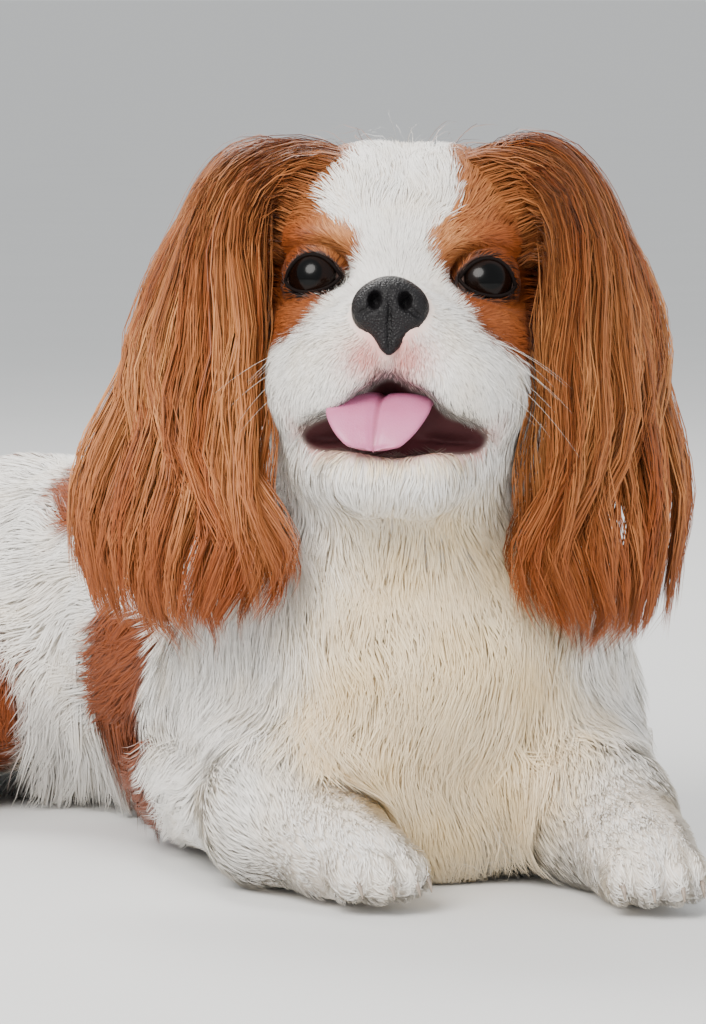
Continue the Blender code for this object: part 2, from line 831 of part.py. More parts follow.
# Hind legs: breeches on the back of the thigh, above the heel
for side in HIND.values():
    for row in range(2):
        for place in range(3):
            start = hind_point(side, -0.080, 0.052 + 0.022 * place, 0.048 + 0.022 * row)
            heading = -0.45 * HIP_FORWARD + side * 0.10 * HIP_LEFT + array((0, 0, -0.9))
            lift = 0.0038 + 0.0014 * ((place + row) % 2)
            body_lock(start, heading, 0.040, 0.0115, lift, draw.uniform(-1, 1), hanging=True)

# Flanks: a fringe that hangs along the belly's edge
FLANK = (array((-0.016, 0.062, 0.050)), array((-0.116, 0.190, 0.050)))
for side in HIND.values():
    for k in range(4):
        start = FLANK[0] + (FLANK[1] - FLANK[0]) * k / 3 + side * 0.10 * HIP_LEFT
        heading = array((0, 0, -1.0)) - 0.30 * HIP_FORWARD + side * 0.12 * HIP_LEFT
        body_lock(start, heading, 0.044, 0.0185, 0.0036 + 0.0014 * (k % 2), hanging=True)

# Tail: a plume in two rows to each side, swept towards its tip and spread over the ground
joints = array([place for place, _ in TAIL])
for k, side in ((k, side) for k in range(4) for side in (1.0, -1.0)):
    f = 0.42 + 0.17 * k
    base = spline(joints, f)
    along = spline(joints, min(f + 0.05, 1.0)) - spline(joints, f - 0.05)
    along = along / length_of(along)
    outward = np.cross(along, (0, 0, 1.0)) * side
    outward = outward / length_of(outward)
    heading = 0.86 * along + 0.50 * outward + array((0, 0, -0.10))
    start = base + outward * 0.018
    body_lock(start, heading, 0.060, 0.0125, 0.0030 + 0.0014 * (k % 2), hanging=True)

for name, locks in coats.items():
    if locks:
        coated(nodes[name], locks)

# Eyes: whole balls behind the lids
EYE_TRIANGLES = 150
for name, side in (("eye_left", 1.0), ("eye_right", -1.0)):
    x, y, z = EYE_CENTRE
    bm = bmesh.new()
    bmesh.ops.create_icosphere(bm, subdivisions=3, radius=EYE_RADIUS)
    bmesh.ops.translate(bm, verts=bm.verts, vec=Vector(from_head((side * x, y, z))))
    mesh = bpy.data.meshes.new(name)
    bm.to_mesh(mesh)
    bm.free()
    eye = bpy.data.objects.new(name, mesh)
    bpy.context.scene.collection.objects.link(eye)
    thinned(eye, EYE_TRIANGLES)
    seat(head, eye)
    finished(eye, EYE, 0.12)

# Nose: a pad with a nostril on each side
NOSE_PLACE = (-0.0020, 0.0440, -0.0235)
NOSE_STEP = 0.0012
NOSE_TRIANGLES = 230
NOSTRIL_STEP = 0.0010
NOSTRIL_TRIANGLES = 48


def nose_field(p):
    q = to_head(p) - array(NOSE_PLACE)
    m = mirrored(q)
    pad = ellipsoid(q, (0, 0.0000, 0.0025), (0.0120, 0.0100, 0.0095))
    wing = ellipsoid(m, (0.0085, -0.0005, -0.0010), (0.0058, 0.0080, 0.0068))
    root = limb(q, (0, 0.0000, -0.0040), (0, 0.0000, -0.0140), 0.0100, 0.0040)
    return blend(blend(pad, wing, 0.006), root, 0.008)


def nostril_field(p, side):
    q = to_head(p) - array(NOSE_PLACE)
    opening = ellipsoid(q, (side * 0.0062, 0.0090, 0.0000), (0.0030, 0.0062, 0.0026))
    slit = limb(q, (side * 0.0066, 0.0105, -0.0010), (side * 0.0118, 0.0070, -0.0044), 0.0012, 0.0010)
    return blend(opening, slit, 0.002)


nose = extracted(
    "nose", nose_field, (-0.040, -0.150, 0.180), (0.040, -0.060, 0.250), NOSE_STEP, NOSE_TRIANGLES
)
seat(head, nose)
for side in (1.0, -1.0):
    nostril = extracted(
        "nostril", lambda p: nostril_field(p, side),
        (-0.040, -0.150, 0.180), (0.040, -0.090, 0.250), NOSTRIL_STEP, NOSTRIL_TRIANGLES,
    )
    combined(nose, nostril, "DIFFERENCE")
    removed(nostril)
finished(largest_surface(nose), BLACK, 0.42)

# Tongue: from the back of the mouth over the lower lip, with a groove along its middle
TONGUE = (
    # across, ahead, up, half width, half thickness
    (0.0000, -0.0040, -0.0600, 0.0110, 0.0050),
    (-0.0005, 0.0060, -0.0565, 0.0140, 0.0050),
    (-0.0020, 0.0170, -0.0545, 0.0170, 0.0048),
    (-0.0045, 0.0280, -0.0560, 0.0190, 0.0044),
    (-0.0060, 0.0370, -0.0620, 0.0190, 0.0038),
    (-0.0066, 0.0425, -0.0700, 0.0150, 0.0030),
    (-0.0068, 0.0450, -0.0765, 0.0050, 0.0018),
)
TONGUE_RINGS = 9
TONGUE_SIDES = 14
rings = []
for r in range(TONGUE_RINGS):
    t = r / (TONGUE_RINGS - 1)
    across, ahead, up, half_width, half_thickness = spline(TONGUE, t)
    later = spline(TONGUE, min(t + 0.02, 1.0)) - spline(TONGUE, max(t - 0.02, 0.0))
    along = later[1:3] / length_of(later[1:3])
    ring = []
    for k in range(TONGUE_SIDES):
        angle = 2 * math.pi * k / TONGUE_SIDES
        side, top = math.cos(angle), math.sin(angle)
        rise = half_thickness * math.copysign(abs(top) ** 0.8, top)
        groove = 0.0012 * math.exp(-((side / 0.18) ** 2)) * max(top, 0.0)
        cup = 0.0016 * side * side
        lift = rise - groove + cup
        point = (across + half_width * side, ahead - along[1] * lift, up + along[0] * lift)
        ring.append(from_head(point))
    rings.append(ring)
tongue = loft("tongue", rings)
seat(head, tongue)
finished(tongue, PINK, 0.35)

# Ears: a leather that leaves the head near its top and hangs down in front of the shoulder
EARS = {
    # height, then front edge and back edge in plan
    "left": (
        (0.2500, 0.0340, -0.0540, 0.0360, -0.0080),
        (0.2650, 0.0430, -0.0590, 0.0500, -0.0090),
        (0.2580, 0.0500, -0.0660, 0.0640, -0.0110),
        (0.2300, 0.0530, -0.0730, 0.0830, -0.0130),
        (0.1950, 0.0530, -0.0800, 0.0970, -0.0180),
        (0.1600, 0.0490, -0.0870, 0.1020, -0.0270),
        (0.1280, 0.0460, -0.0930, 0.1010, -0.0400),
        (0.0960, 0.0460, -0.0950, 0.0960, -0.0520),
    ),
    "right": (
        (0.2500, -0.0340, -0.0540, -0.0360, -0.0080),
        (0.2650, -0.0430, -0.0590, -0.0500, -0.0090),
        (0.2580, -0.0490, -0.0660, -0.0640, -0.0110),
        (0.2300, -0.0510, -0.0730, -0.0810, -0.0130),
        (0.1950, -0.0510, -0.0800, -0.0990, -0.0170),
        (0.1600, -0.0500, -0.0870, -0.1130, -0.0250),
        (0.1290, -0.0460, -0.0930, -0.1190, -0.0370),
        (0.0990, -0.0480, -0.0940, -0.1120, -0.0480),
    ),
}


def ear_place(name, t, u, lift=0.0):
    """A point of an ear: t down it, u from -1 at its front edge to 1 at its back, lift off its face."""
    z, front_x, front_y, back_x, back_y = spline(EARS[name], t)
    after = spline(EARS[name], min(t + 0.02, 1.0))
    before = spline(EARS[name], max(t - 0.02, 0.0))
    front = array((front_x, front_y, z))
    back = array((back_x, back_y, z))
    middle = (front + back) / 2
    across = (back - front) / 2
    down = array(((after[1] + after[3] - before[1] - before[3]) / 2,
                  (after[2] + after[4] - before[2] - before[4]) / 2, after[0] - before[0]))
    face = np.cross(across, down)
    face = face / length_of(face)
    if name == "left":
        face = -face
    bulge = 0.010 * (1 - u * u) * math.sin(math.pi * min(1.0, 0.15 + 0.7 * t))
    return middle + across * u + face * (lift + bulge), face


EAR_LEATHER = 0.55  # how far down the ear its leather reaches
LEATHER_RINGS = 9
LEATHER_SIDES = 12
LEATHER_HALF_THICKNESS = (0.0055, 0.0060, 0.0050, 0.0045, 0.0032, 0.0010)  # from the ear's top down
EAR_ROWS = (
    # root and tip down the ear, lift off the leather, locks
    (0.46, 1.00, -0.0030, 7),
    (0.35, 0.96, 0.0024, 6),
    (0.25, 0.80, 0.0078, 5),
    (0.14, 0.60, 0.0125, 4),
)


def ear_locks(name, draw):
    """The ear's long waves, in rows from the lowest up, each over the row below it."""
    for root, tip, lift, count in EAR_ROWS:
        for i in range(count):
            u = -1.04 + 2.04 * (i + 0.5) / count
            end = tip - 0.08 * u * u - draw.uniform(0.0, 0.04)
            hook = draw.uniform(-0.08, 0.08)
            phase = draw.uniform(-0.12, 0.12)
            height = lift + 0.0028 * (i % 2)
            middle_t = (root + end) / 2
            half = length_of(ear_place(name, middle_t, 1)[0] - ear_place(name, middle_t, -1)[0]) / 2
            half_width = min(0.70 * 2 * half / count, 0.0135)
            centres = []
            for s in LONG_STATIONS:
                t = root + (end - root) * s
                wave = 0.07 * math.sin(2 * math.pi * (2.3 * t) + phase) * s
                side = u * (1.0 + 0.10 * math.sin(math.pi * s)) + wave + hook * s**3
                rise = min(1.0, s * 2.2)
                point, face = ear_place(name, t, side, height * rise)
                depth = 0.0035 + half_width * 0.35
                for _ in range(3):
                    near = flesh_field(point[None])[0]
                    if s > 0.0 and near < depth:
                        point = point + face * (depth - near)
                centres.append((point, face))
            yield lock(centres, LONG_STATIONS, half_width, EAR_LOCK_THICKNESS / 2)


for name in EARS:
    rings = []
    for r in range(LEATHER_RINGS):
        s = r / (LEATHER_RINGS - 1)
        thickness = spline(LEATHER_HALF_THICKNESS, s)
        ring = []
        for k in range(LEATHER_SIDES):
            angle = 2 * math.pi * k / LEATHER_SIDES
            across, lift = 0.94 * math.cos(angle), thickness * math.sin(angle)
            ring.append(ear_place(name, EAR_LEATHER * s, across, lift)[0])
        rings.append(ring)
    ear = loft("ear_" + name, rings)
    seat(head, ear)
    nodes["ear_" + name] = coated(ear, ear_locks(name, random.Random(name)))

# Each node's locks yield to the nodes that they would touch
for host, pieces in (
    ("torso", ("neck", "foreleg_left", "foreleg_right", "hindleg_left", "hindleg_right", "tail")),
    ("torso", ("ear_left", "ear_right")),
    ("neck", ("ear_left", "ear_right")),
    ("foreleg_left", ("ear_left",)),
    ("foreleg_right", ("ear_right",)),
    ("tail", ("hindleg_left", "hindleg_right")),
):
    for piece in pieces:
        trimmed(nodes[host], nodes[piece])

for name, node in nodes.items():
    colour = CHESTNUT if name.startswith("ear") else CREAM if name == "neck" else WHITE
    finished(node, colour, COAT_ROUGHNESS)
finished(head, CHESTNUT, COAT_ROUGHNESS)
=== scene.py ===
"""A Cavalier King Charles spaniel lying with its head up: skin, eyes, nose, tongue and the whole coat.

Metres, +Z up. The head faces -Y, and the dog's own left is +X. The sections follow the dog from its skin
outward.
"""

import math

import bmesh
import bpy
import numpy as np
from mathutils import Matrix, Vector
from mathutils.kdtree import KDTree


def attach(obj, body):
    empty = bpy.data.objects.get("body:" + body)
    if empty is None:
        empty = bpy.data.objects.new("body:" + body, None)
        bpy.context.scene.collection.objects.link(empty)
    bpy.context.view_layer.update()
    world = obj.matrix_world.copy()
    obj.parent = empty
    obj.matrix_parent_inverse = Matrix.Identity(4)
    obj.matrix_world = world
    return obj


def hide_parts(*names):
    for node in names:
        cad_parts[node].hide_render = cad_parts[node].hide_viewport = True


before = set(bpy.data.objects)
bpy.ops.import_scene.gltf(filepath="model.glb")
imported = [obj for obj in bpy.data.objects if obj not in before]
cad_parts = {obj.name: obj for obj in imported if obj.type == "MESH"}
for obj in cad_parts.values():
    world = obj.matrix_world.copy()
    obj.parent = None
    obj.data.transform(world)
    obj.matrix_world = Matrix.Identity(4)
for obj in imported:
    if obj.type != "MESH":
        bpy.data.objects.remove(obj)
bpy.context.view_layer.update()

# Studio: a pale floor that runs on to the horizon, a large key light from the upper left, a soft fill from
# the right and a bright light behind that rims the coat. The camera stands low in front of the dog, a little
# over two metres away, with a long lens.
PHOTO_HEIGHT = 1024
FOCAL_PIXELS = 5808
CAMERA_PLACE = (-0.018, -2.27, 0.34)
CAMERA_TILT = math.radians(-5.1)

camera_data = bpy.data.cameras.new("camera")
camera_data.sensor_width = 36.0
camera_data.lens = camera_data.sensor_width * FOCAL_PIXELS / PHOTO_HEIGHT
camera = bpy.data.objects.new("camera", camera_data)
camera.location = CAMERA_PLACE
camera.rotation_euler = (math.radians(90.0) + CAMERA_TILT, 0.0, 0.0)
bpy.context.scene.collection.objects.link(camera)
bpy.context.scene.camera = camera


def lamp(name, place, aim, size, power, colour):
    """A round soft light at a place, facing an aim."""
    data = bpy.data.lights.new(name, "AREA")
    data.shape = "DISK"
    data.size = size
    data.energy = power
    data.color = colour
    obj = bpy.data.objects.new(name, data)
    obj.location = place
    obj.rotation_euler = (Vector(aim) - Vector(place)).to_track_quat("-Z", "Y").to_euler()
    bpy.context.scene.collection.objects.link(obj)
    return obj


lamp("key", (-0.9, -1.6, 1.6), (0.0, -0.05, 0.14), 1.5, 92.0, (1.0, 0.97, 0.93))
fill = lamp("fill", (1.6, -1.5, 0.7), (0.0, -0.05, 0.12), 1.4, 20.0, (0.96, 0.98, 1.0))
fill.visible_glossy = False
lamp("rim", (-0.5, 1.3, 1.7), (0.0, 0.0, 0.20), 0.9, 42.0, (1.0, 0.98, 0.95))

world = bpy.data.worlds.new("studio")
world.use_nodes = True
world.node_tree.nodes["Background"].inputs["Color"].default_value = (0.86, 0.88, 0.90, 1.0)
world.node_tree.nodes["Background"].inputs["Strength"].default_value = 1.04
bpy.context.scene.world = world


class Wire:
    """A value in a node tree. Its sums, differences and products add the Math nodes."""

    def __init__(self, tree, socket):
        self.tree = tree
        self.socket = socket

    def maths(self, operation, first, second):
        node = self.tree.nodes.new("ShaderNodeMath")
        node.operation = operation
        for socket, value in zip(node.inputs, (first, second)):
            if isinstance(value, Wire):
                self.tree.links.new(value.socket, socket)
            else:
                socket.default_value = value
        return Wire(self.tree, node.outputs[0])

    def __add__(self, other):
        return self.maths("ADD", self, other)

    def __sub__(self, other):
        return self.maths("SUBTRACT", self, other)

    def __mul__(self, other):
        return self.maths("MULTIPLY", self, other)

    def __rsub__(self, other):
        return self.maths("SUBTRACT", other, self)

    __radd__ = __add__
    __rmul__ = __mul__


class Finish:
    """A material with a Principled shader, built node by node."""

    def __init__(self, name, **constants):
        self.material = bpy.data.materials.new(name)
        self.material.use_nodes = True
        self.tree = self.material.node_tree
        self.shader = self.tree.nodes["Principled BSDF"]
        for socket, value in constants.items():
            self.shader.inputs[socket.replace("_", " ")].default_value = value

    def node(self, kind, settings=None, inputs=None, output=0):
        """Add a node, with its settings and its sockets' values or links. Returns one output as a wire."""
        node = self.tree.nodes.new(kind)
        for key, value in (settings or {}).items():
            if key == "stops":
                ramp = node.color_ramp
                while len(ramp.elements) < len(value):
                    ramp.elements.new(0.5)
                for element, (position, colour) in zip(ramp.elements, value):
                    element.position = position
                    element.color = colour
            else:
                setattr(node, key, value)
        for key, value in (inputs or {}).items():
            self.put(value, node.inputs[key])
        return Wire(self.tree, node.outputs[output])

    def put(self, value, socket):
        if isinstance(value, Wire):
            self.tree.links.new(value.socket, socket)
        else:
            socket.default_value = value

    def feed(self, socket, value):
        self.put(value, self.shader.inputs[socket])

    def mixed(self, share, first, second, how="MIX"):
        """A colour between two, or their product where how is MULTIPLY."""
        settings = {"data_type": "RGBA", "blend_type": how}
        return self.node("ShaderNodeMix", settings, {0: share, 6: first, 7: second}, 2)

    def noise(self, scale, detail=3.0, where=None):
        inputs = {"Scale": scale, "Detail": detail}
        if where is not None:
            inputs["Vector"] = where
        return self.node("ShaderNodeTexNoise", None, inputs)

    def place(self):
        """Where a point of the surface is on the object itself."""
        return self.node("ShaderNodeTexCoord", None, None, 3)

    def speckled(self, scale, dark, pale):
        """Colour the surface between two colours by a noise of this scale, and return the noise."""
        noise = self.noise(scale, where=self.place())
        self.feed("Base Color", self.mixed(noise, dark, pale))
        return noise

    def stored(self, name):
        """A value stored on the mesh, as a number."""
        return self.node("ShaderNodeAttribute", {"attribute_name": name}, None, 2)

    def bump(self, height, strength, distance):
        inputs = {"Height": height, "Strength": strength, "Distance": distance}
        self.feed("Normal", self.node("ShaderNodeBump", None, inputs))


FLOOR_HALF = 300.0
floor_corners = [(x * FLOOR_HALF, y * FLOOR_HALF, 0) for x, y in ((-1, -1), (1, -1), (1, 1), (-1, 1))]
floor_mesh = bpy.data.meshes.new("floor")
floor_mesh.from_pydata(floor_corners, [], [(0, 1, 2, 3)])
floor = bpy.data.objects.new("floor", floor_mesh)
bpy.context.scene.collection.objects.link(floor)
floor_finish = Finish("studio_floor", Roughness=0.85)
floor_finish.speckled(6.0, (0.64, 0.64, 0.63, 1), (0.67, 0.67, 0.66, 1))
floor_mesh.materials.append(floor_finish.material)

# Skin: one hide over head, neck, trunk, legs and tail, drawn over the muscles under the coat. It is made
# from smooth forms in space and lies under the coat's outer face by the coat's depth. It carries the coat's
# markings: chestnut on white, with pink by the nose and dark rims round the eyes.
EYE_SPACING = 0.0632
EYE_RADIUS = 0.0118
EYE_CENTRE = (EYE_SPACING / 2, -0.0035, -0.0015)
LID_RADIUS = EYE_RADIUS + 0.0018
LID_HALF_WIDTH = 0.0104
LID_HALF_HEIGHT = 0.0068
CORNER_DROP = 0.0013  # how far the eyes' corners lie under their middle
SKULL_WIDTH = 0.100
SKULL_LENGTH = 0.112
SKULL_HEIGHT = 0.092
HEAD_PLACE = (0.0, -0.070, 0.234)
HEAD_PITCH = math.radians(15.0)
HEAD_YAW = math.radians(-2.0)
HEAD_ROLL = math.radians(1.2)
NOSE_PLACE = (-0.0020, 0.0440, -0.0223)

TRUNK = (
    # place and radius, from the breast to the rump
    ((0.008, -0.032, 0.090), 0.061),
    ((0.000, 0.022, 0.092), 0.073),
    ((-0.045, 0.100, 0.082), 0.077),
    ((-0.100, 0.175, 0.077), 0.069),
    ((-0.160, 0.250, 0.073), 0.063),
    ((-0.188, 0.285, 0.070), 0.047),
)


def array(values):
    return np.array(values, dtype=float)


def length_of(vectors):
    return np.sqrt((vectors * vectors).sum(axis=-1))


def unit(vectors):
    return vectors / np.maximum(length_of(vectors), 1e-9)[..., None]


def ellipsoid(p, centre, radii, turn=None):
    """Distance to an ellipsoid, near enough for blending. turn has its axes as columns."""
    q = p - array(centre)
    if turn is not None:
        q = q @ turn
    radii = array(radii)
    k0 = length_of(q / radii)
    k1 = length_of(q / (radii * radii))
    return k0 * (k0 - 1.0) / np.maximum(k1, 1e-9)


def limb(p, start, end, start_radius, end_radius):
    """Distance to a straight length with round ends, of one radius at its start and another at its end."""
    start, end = array(start), array(end)
    along = end - start
    t = np.clip(((p - start) @ along) / (along @ along), 0.0, 1.0)
    nearest = start + t[..., None] * along
    return length_of(p - nearest) - (start_radius + (end_radius - start_radius) * t)


def blend(a, b, softness):
    """The union of two forms, with a fillet about as wide as softness."""
    h = np.maximum(softness - np.abs(a - b), 0.0) / softness
    return np.minimum(a, b) - h * h * softness * 0.25


def joined(form, pieces):
    """A form with (piece, softness) pairs blended into it one after another."""
    for piece, softness in pieces:
        form = blend(form, piece, softness)
    return form


def carve(a, b, softness):
    """Form a with form b taken away, with a rounded rim."""
    return -blend(-a, b, softness)


def ramp(values, low, high):
    """A smooth rise from 0 at low to 1 at high."""
    t = np.clip((values - low) / (high - low), 0.0, 1.0)
    return t * t * (3.0 - 2.0 * t)


def turned(pitch, yaw, roll):
    """The head's own axes, as columns: to its left, forward and up."""
    level = Matrix(((1, 0, 0), (0, -1, 0), (0, 0, 1)))
    turn = Matrix.Rotation(yaw, 3, "Z") @ Matrix.Rotation(-pitch, 3, "X") @ Matrix.Rotation(roll, 3, "Y")
    return array(turn @ level)


PAD_TURN = array(Matrix.Rotation(math.radians(-12.0), 3, "Y"))
HEAD_AXES = turned(HEAD_PITCH, HEAD_YAW, HEAD_ROLL)
EYE_AXES = array(Matrix.Rotation(math.radians(-14.0), 3, "Z") @ Matrix.Rotation(math.radians(4.0), 3, "Y"))


def to_head(p):
    return (p - array(HEAD_PLACE)) @ HEAD_AXES


def from_head(q):
    return array(HEAD_PLACE) + array(q) @ HEAD_AXES.T


def mirrored(q):
    """Points folded onto the dog's left side, for forms that both sides share."""
    return np.stack((np.abs(q[..., 0]), q[..., 1], q[..., 2]), axis=-1)


def almond(p):
    """Distance in an eye's front view to its almond-shaped opening, the overlap of two circles."""
    radius = (LID_HALF_WIDTH**2 + LID_HALF_HEIGHT**2) / (2.0 * LID_HALF_HEIGHT)
    drop = radius - LID_HALF_HEIGHT
    up = p[..., 2] + CORNER_DROP * np.minimum((p[..., 0] / LID_HALF_WIDTH) ** 2, 1.5)
    upper = np.sqrt(p[..., 0] ** 2 + (up + drop) ** 2) - radius
    lower = np.sqrt(p[..., 0] ** 2 + (up - drop) ** 2) - radius
    return -blend(-upper, -lower, 0.002)


def to_eye(q):
    """Points of the head seen from the nearer eye: across, ahead and up."""
    return (mirrored(q) - array(EYE_CENTRE)) @ EYE_AXES


def gape_field(q):
    """The open mouth."""
    m = mirrored(q)
    gape = ellipsoid(q, (0, 0.0340, -0.0625), (0.0190, 0.0330, 0.0135))
    corners = ellipsoid(m, (0.0180, 0.0250, -0.0660), (0.0180, 0.0260, 0.0065))
    notch = limb(q, (-0.002, 0.060, -0.0500), (-0.002, 0.020, -0.0520), 0.0034, 0.0060)
    return blend(blend(gape, corners, 0.006), notch, 0.005)


def head_field(p):
    q = to_head(p)
    m = mirrored(q)
    skull = ellipsoid(q, (0, -0.042, 0.008), (SKULL_WIDTH / 2, SKULL_LENGTH / 2, SKULL_HEIGHT / 2))
    crown = ellipsoid(m, (0.016, -0.036, 0.022), (0.033, 0.036, 0.031))
    cheek = ellipsoid(m, (0.0290, -0.0130, -0.0320), (0.0230, 0.0320, 0.0310))
    brow = ellipsoid(m, (0.0240, -0.0030, 0.0135), (0.0190, 0.0120, 0.0080))
    bridge = ellipsoid(q, (0, 0.0150, -0.0260), (0.0215, 0.0380, 0.0180))
    pad = ellipsoid(m, (0.0165, 0.0250, -0.0440), (0.0215, 0.0215, 0.0225), PAD_TURN)
    flews = ellipsoid(m, (0.0290, 0.0090, -0.0490), (0.0160, 0.0200, 0.0180))
    jaw = limb(m, (0.024, -0.016, -0.062), (0.0115, 0.0230, -0.0815), 0.0200, 0.0125)
    chin = ellipsoid(q, (0, 0.0250, -0.0835), (0.0230, 0.0150, 0.0115))
    form = joined(skull, (
        (crown, 0.020), (cheek, 0.022), (brow, 0.012), (bridge, 0.016), (pad, 0.014), (flews, 0.016),
        (blend(jaw, chin, 0.010), 0.006),
    ))
    form = carve(form, gape_field(q), 0.003)
    cleft = limb(q, (0, 0.056, -0.036), (0, 0.0475, -0.054), 0.0012, 0.0026)
    form = carve(form, cleft, 0.007)
    e = to_eye(q)
    hollow = ellipsoid(e, (0, 0.004, 0), (0.0150, 0.0120, 0.0115))
    form = carve(form, hollow, 0.008)
    form = blend(form, ellipsoid(e, (0, 0, 0), (LID_RADIUS,) * 3), 0.005)
    opening = np.maximum(almond(e), -0.001 - e[..., 1])
    return carve(form, opening, 0.0016)


def neck_field(p):
    nape = limb(p, from_head((0, -0.060, -0.012)), (0.004, 0.020, 0.120), 0.044, 0.062)
    throat = limb(p, from_head((0, -0.020, -0.062)), (0.008, -0.030, 0.108), 0.036, 0.052)
    return blend(nape, throat, 0.020)


def chain(p, joints, softness=0.012):
    """A limb of several lengths: joints are (place, radius) from its root to its tip."""
    pieces = [limb(p, start, end, first, last) for (start, first), (end, last) in zip(joints, joints[1:])]
    return joined(pieces[0], [(piece, softness) for piece in pieces[1:]])


def trunk_field(p):
    shoulder = limb(mirrored(p), (0.040, -0.022, 0.100), (0.046, 0.004, 0.060), 0.038, 0.034)
    brisket = limb(p, (0.009, -0.046, 0.080), (0.011, -0.046, 0.029), 0.044, 0.030)
    keel = limb(p, (0.010, -0.040, 0.030), (-0.012, 0.040, 0.032), 0.032, 0.036)
    return joined(chain(p, TRUNK, 0.015), ((shoulder, 0.020), (brisket, 0.030), (keel, 0.020)))


FORELEGS = {
    # place and radius of shoulder, elbow, wrist and knuckles
    "left": (
        ((0.054, -0.010, 0.074), 0.028),
        ((0.058, 0.020, 0.046), 0.034),
        ((0.078, -0.074, 0.027), 0.025),
        ((0.088, -0.112, 0.020), 0.021),
    ),
    "right": (
        ((-0.056, -0.008, 0.072), 0.029),
        ((-0.066, 0.014, 0.042), 0.035),
        ((-0.046, -0.074, 0.028), 0.027),
        ((-0.026, -0.106, 0.021), 0.021),
    ),
}
PAWS = {
    # place and heading
    "left": ((0.092, -0.130, 0.016), math.radians(12.0)),
    "right": ((-0.014, -0.124, 0.016), math.radians(32.0)),
}
SIDES = {"left": 1.0, "right": -1.0}  # with the sign of each across the dog
HIP_PLACE = array((-0.160, 0.250, 0.0))
HIP_FORWARD = array((0.61, -0.793, 0.0))
HIP_LEFT = array((0.793, 0.61, 0.0))
TAIL = (
    # place and radius, from its root to its tip
    ((-0.192, 0.292, 0.080), 0.024),
    ((-0.214, 0.330, 0.044), 0.020),
    ((-0.222, 0.368, 0.024), 0.019),
    ((-0.208, 0.406, 0.018), 0.016),
    ((-0.176, 0.432, 0.014), 0.011),
)


def hind_point(side, forward, out, up):
    return HIP_PLACE + forward * HIP_FORWARD + side * out * HIP_LEFT + array((0, 0, up))


def hind_joints(side):
    return (
        (hind_point(side, 0.000, 0.052, 0.082), 0.037),
        (hind_point(side, 0.072, 0.072, 0.052), 0.034),
        (hind_point(side, -0.040, 0.082, 0.030), 0.022),
    )


def hind_foot(side):
    return (
        (hind_point(side, -0.040, 0.082, 0.026), 0.020),
        (hind_point(side, 0.050, 0.096, 0.016), 0.016),
    )


def hind_paw(side):
    heading = math.atan2(HIP_FORWARD[0], -HIP_FORWARD[1]) + side * 0.15
    return hind_point(side, 0.066, 0.100, 0.014), heading


ALL_PAWS = [*PAWS.values(), *(hind_paw(side) for side in SIDES.values())]


def to_paw(p, place, heading):
    """Points as a paw has them: to its side, ahead and up."""
    q = p - array(place)
    c, s = math.cos(heading), math.sin(heading)
    return np.stack((q[..., 0] * c + q[..., 1] * s, q[..., 0] * s - q[..., 1] * c, q[..., 2]), axis=-1)


TOES = ((-0.0135, 0.010), (-0.0050, 0.017), (0.0050, 0.017), (0.0135, 0.010))  # across and ahead


def paw_field(p, place, heading):
    local = to_paw(p, place, heading)
    form = ellipsoid(local, (0, -0.004, 0.002), (0.0190, 0.0260, 0.0175))
    for out, reach in TOES:
        form = blend(form, ellipsoid(local, (out, reach, -0.002), (0.0068, 0.0120, 0.0105)), 0.004)
    return form


def foreleg_field(p, name):
    return blend(chain(p, FORELEGS[name]), paw_field(p, *PAWS[name]), 0.010)


def hindleg_field(p, name):
    side = SIDES[name]
    thigh = chain(p, hind_joints(side), 0.016)
    foot = chain(p, hind_foot(side))
    return blend(blend(thigh, foot, 0.014), paw_field(p, *hind_paw(side)), 0.010)


def tail_field(p):
    return chain(p, TAIL)


def flesh_field(p):
    """The coat's outer face. The head's part is worked out only near the head."""
    shape = p.shape[:-1]
    p = p.reshape(-1, 3)
    ahead = (p[:, 1] < 0.075) & (p[:, 2] > 0.075)
    head_and_neck = blend(head_field(p[ahead]), neck_field(p[ahead]), 0.022)
    body = trunk_field(p)
    body[ahead] = blend(head_and_neck, body[ahead], 0.030)
    low = p[:, 2] < 0.170
    part = p[low]
    form = body[low]
    for name in FORELEGS:
        form = blend(form, foreleg_field(part, name), 0.034)
    for name in SIDES:
        form = blend(form, hindleg_field(part, name), 0.024)
    body[low] = blend(form, tail_field(part), 0.014)
    return body.reshape(shape)


def coat_depth(p):
    """How deep the skin lies under the coat's outer face."""
    q = to_head(p)
    face = 0.0009 + 0.0016 * ramp(q[..., 1], 0.010, -0.050)
    eye = length_of(to_eye(q))
    face = np.minimum(face, 0.0009 + 0.12 * np.maximum(eye - 0.017, 0.0))
    near_head = ramp(head_field(p), 0.030, 0.0)
    depth = 0.0021 + (face - 0.0021) * near_head
    for place, _ in ALL_PAWS:
        near_paw = ramp(length_of(p - array(place)), 0.070, 0.030)
        depth = depth + (0.0014 - depth) * near_paw
    return depth


def sparse_values(field, lines, step, block=4, reach=2.5):
    """The field on a grid, worked out at every point only in blocks that lie near its surface."""
    shape = [len(line) for line in lines]
    middles = [line[::block] + step * (block - 1) / 2 for line in lines]
    coarse_grid = np.stack(np.meshgrid(*middles, indexing="ij"), axis=-1)
    value = field(coarse_grid.reshape(-1, 3)).reshape(coarse_grid.shape[:3])
    for axis in range(3):
        value = np.repeat(value, block, axis)
    value = value[: shape[0], : shape[1], : shape[2]].copy()
    near = np.abs(value) < step * block * reach / 2
    places = np.argwhere(near)
    value[near] = field(np.stack([lines[k][places[:, k]] for k in range(3)], axis=-1))
    return value


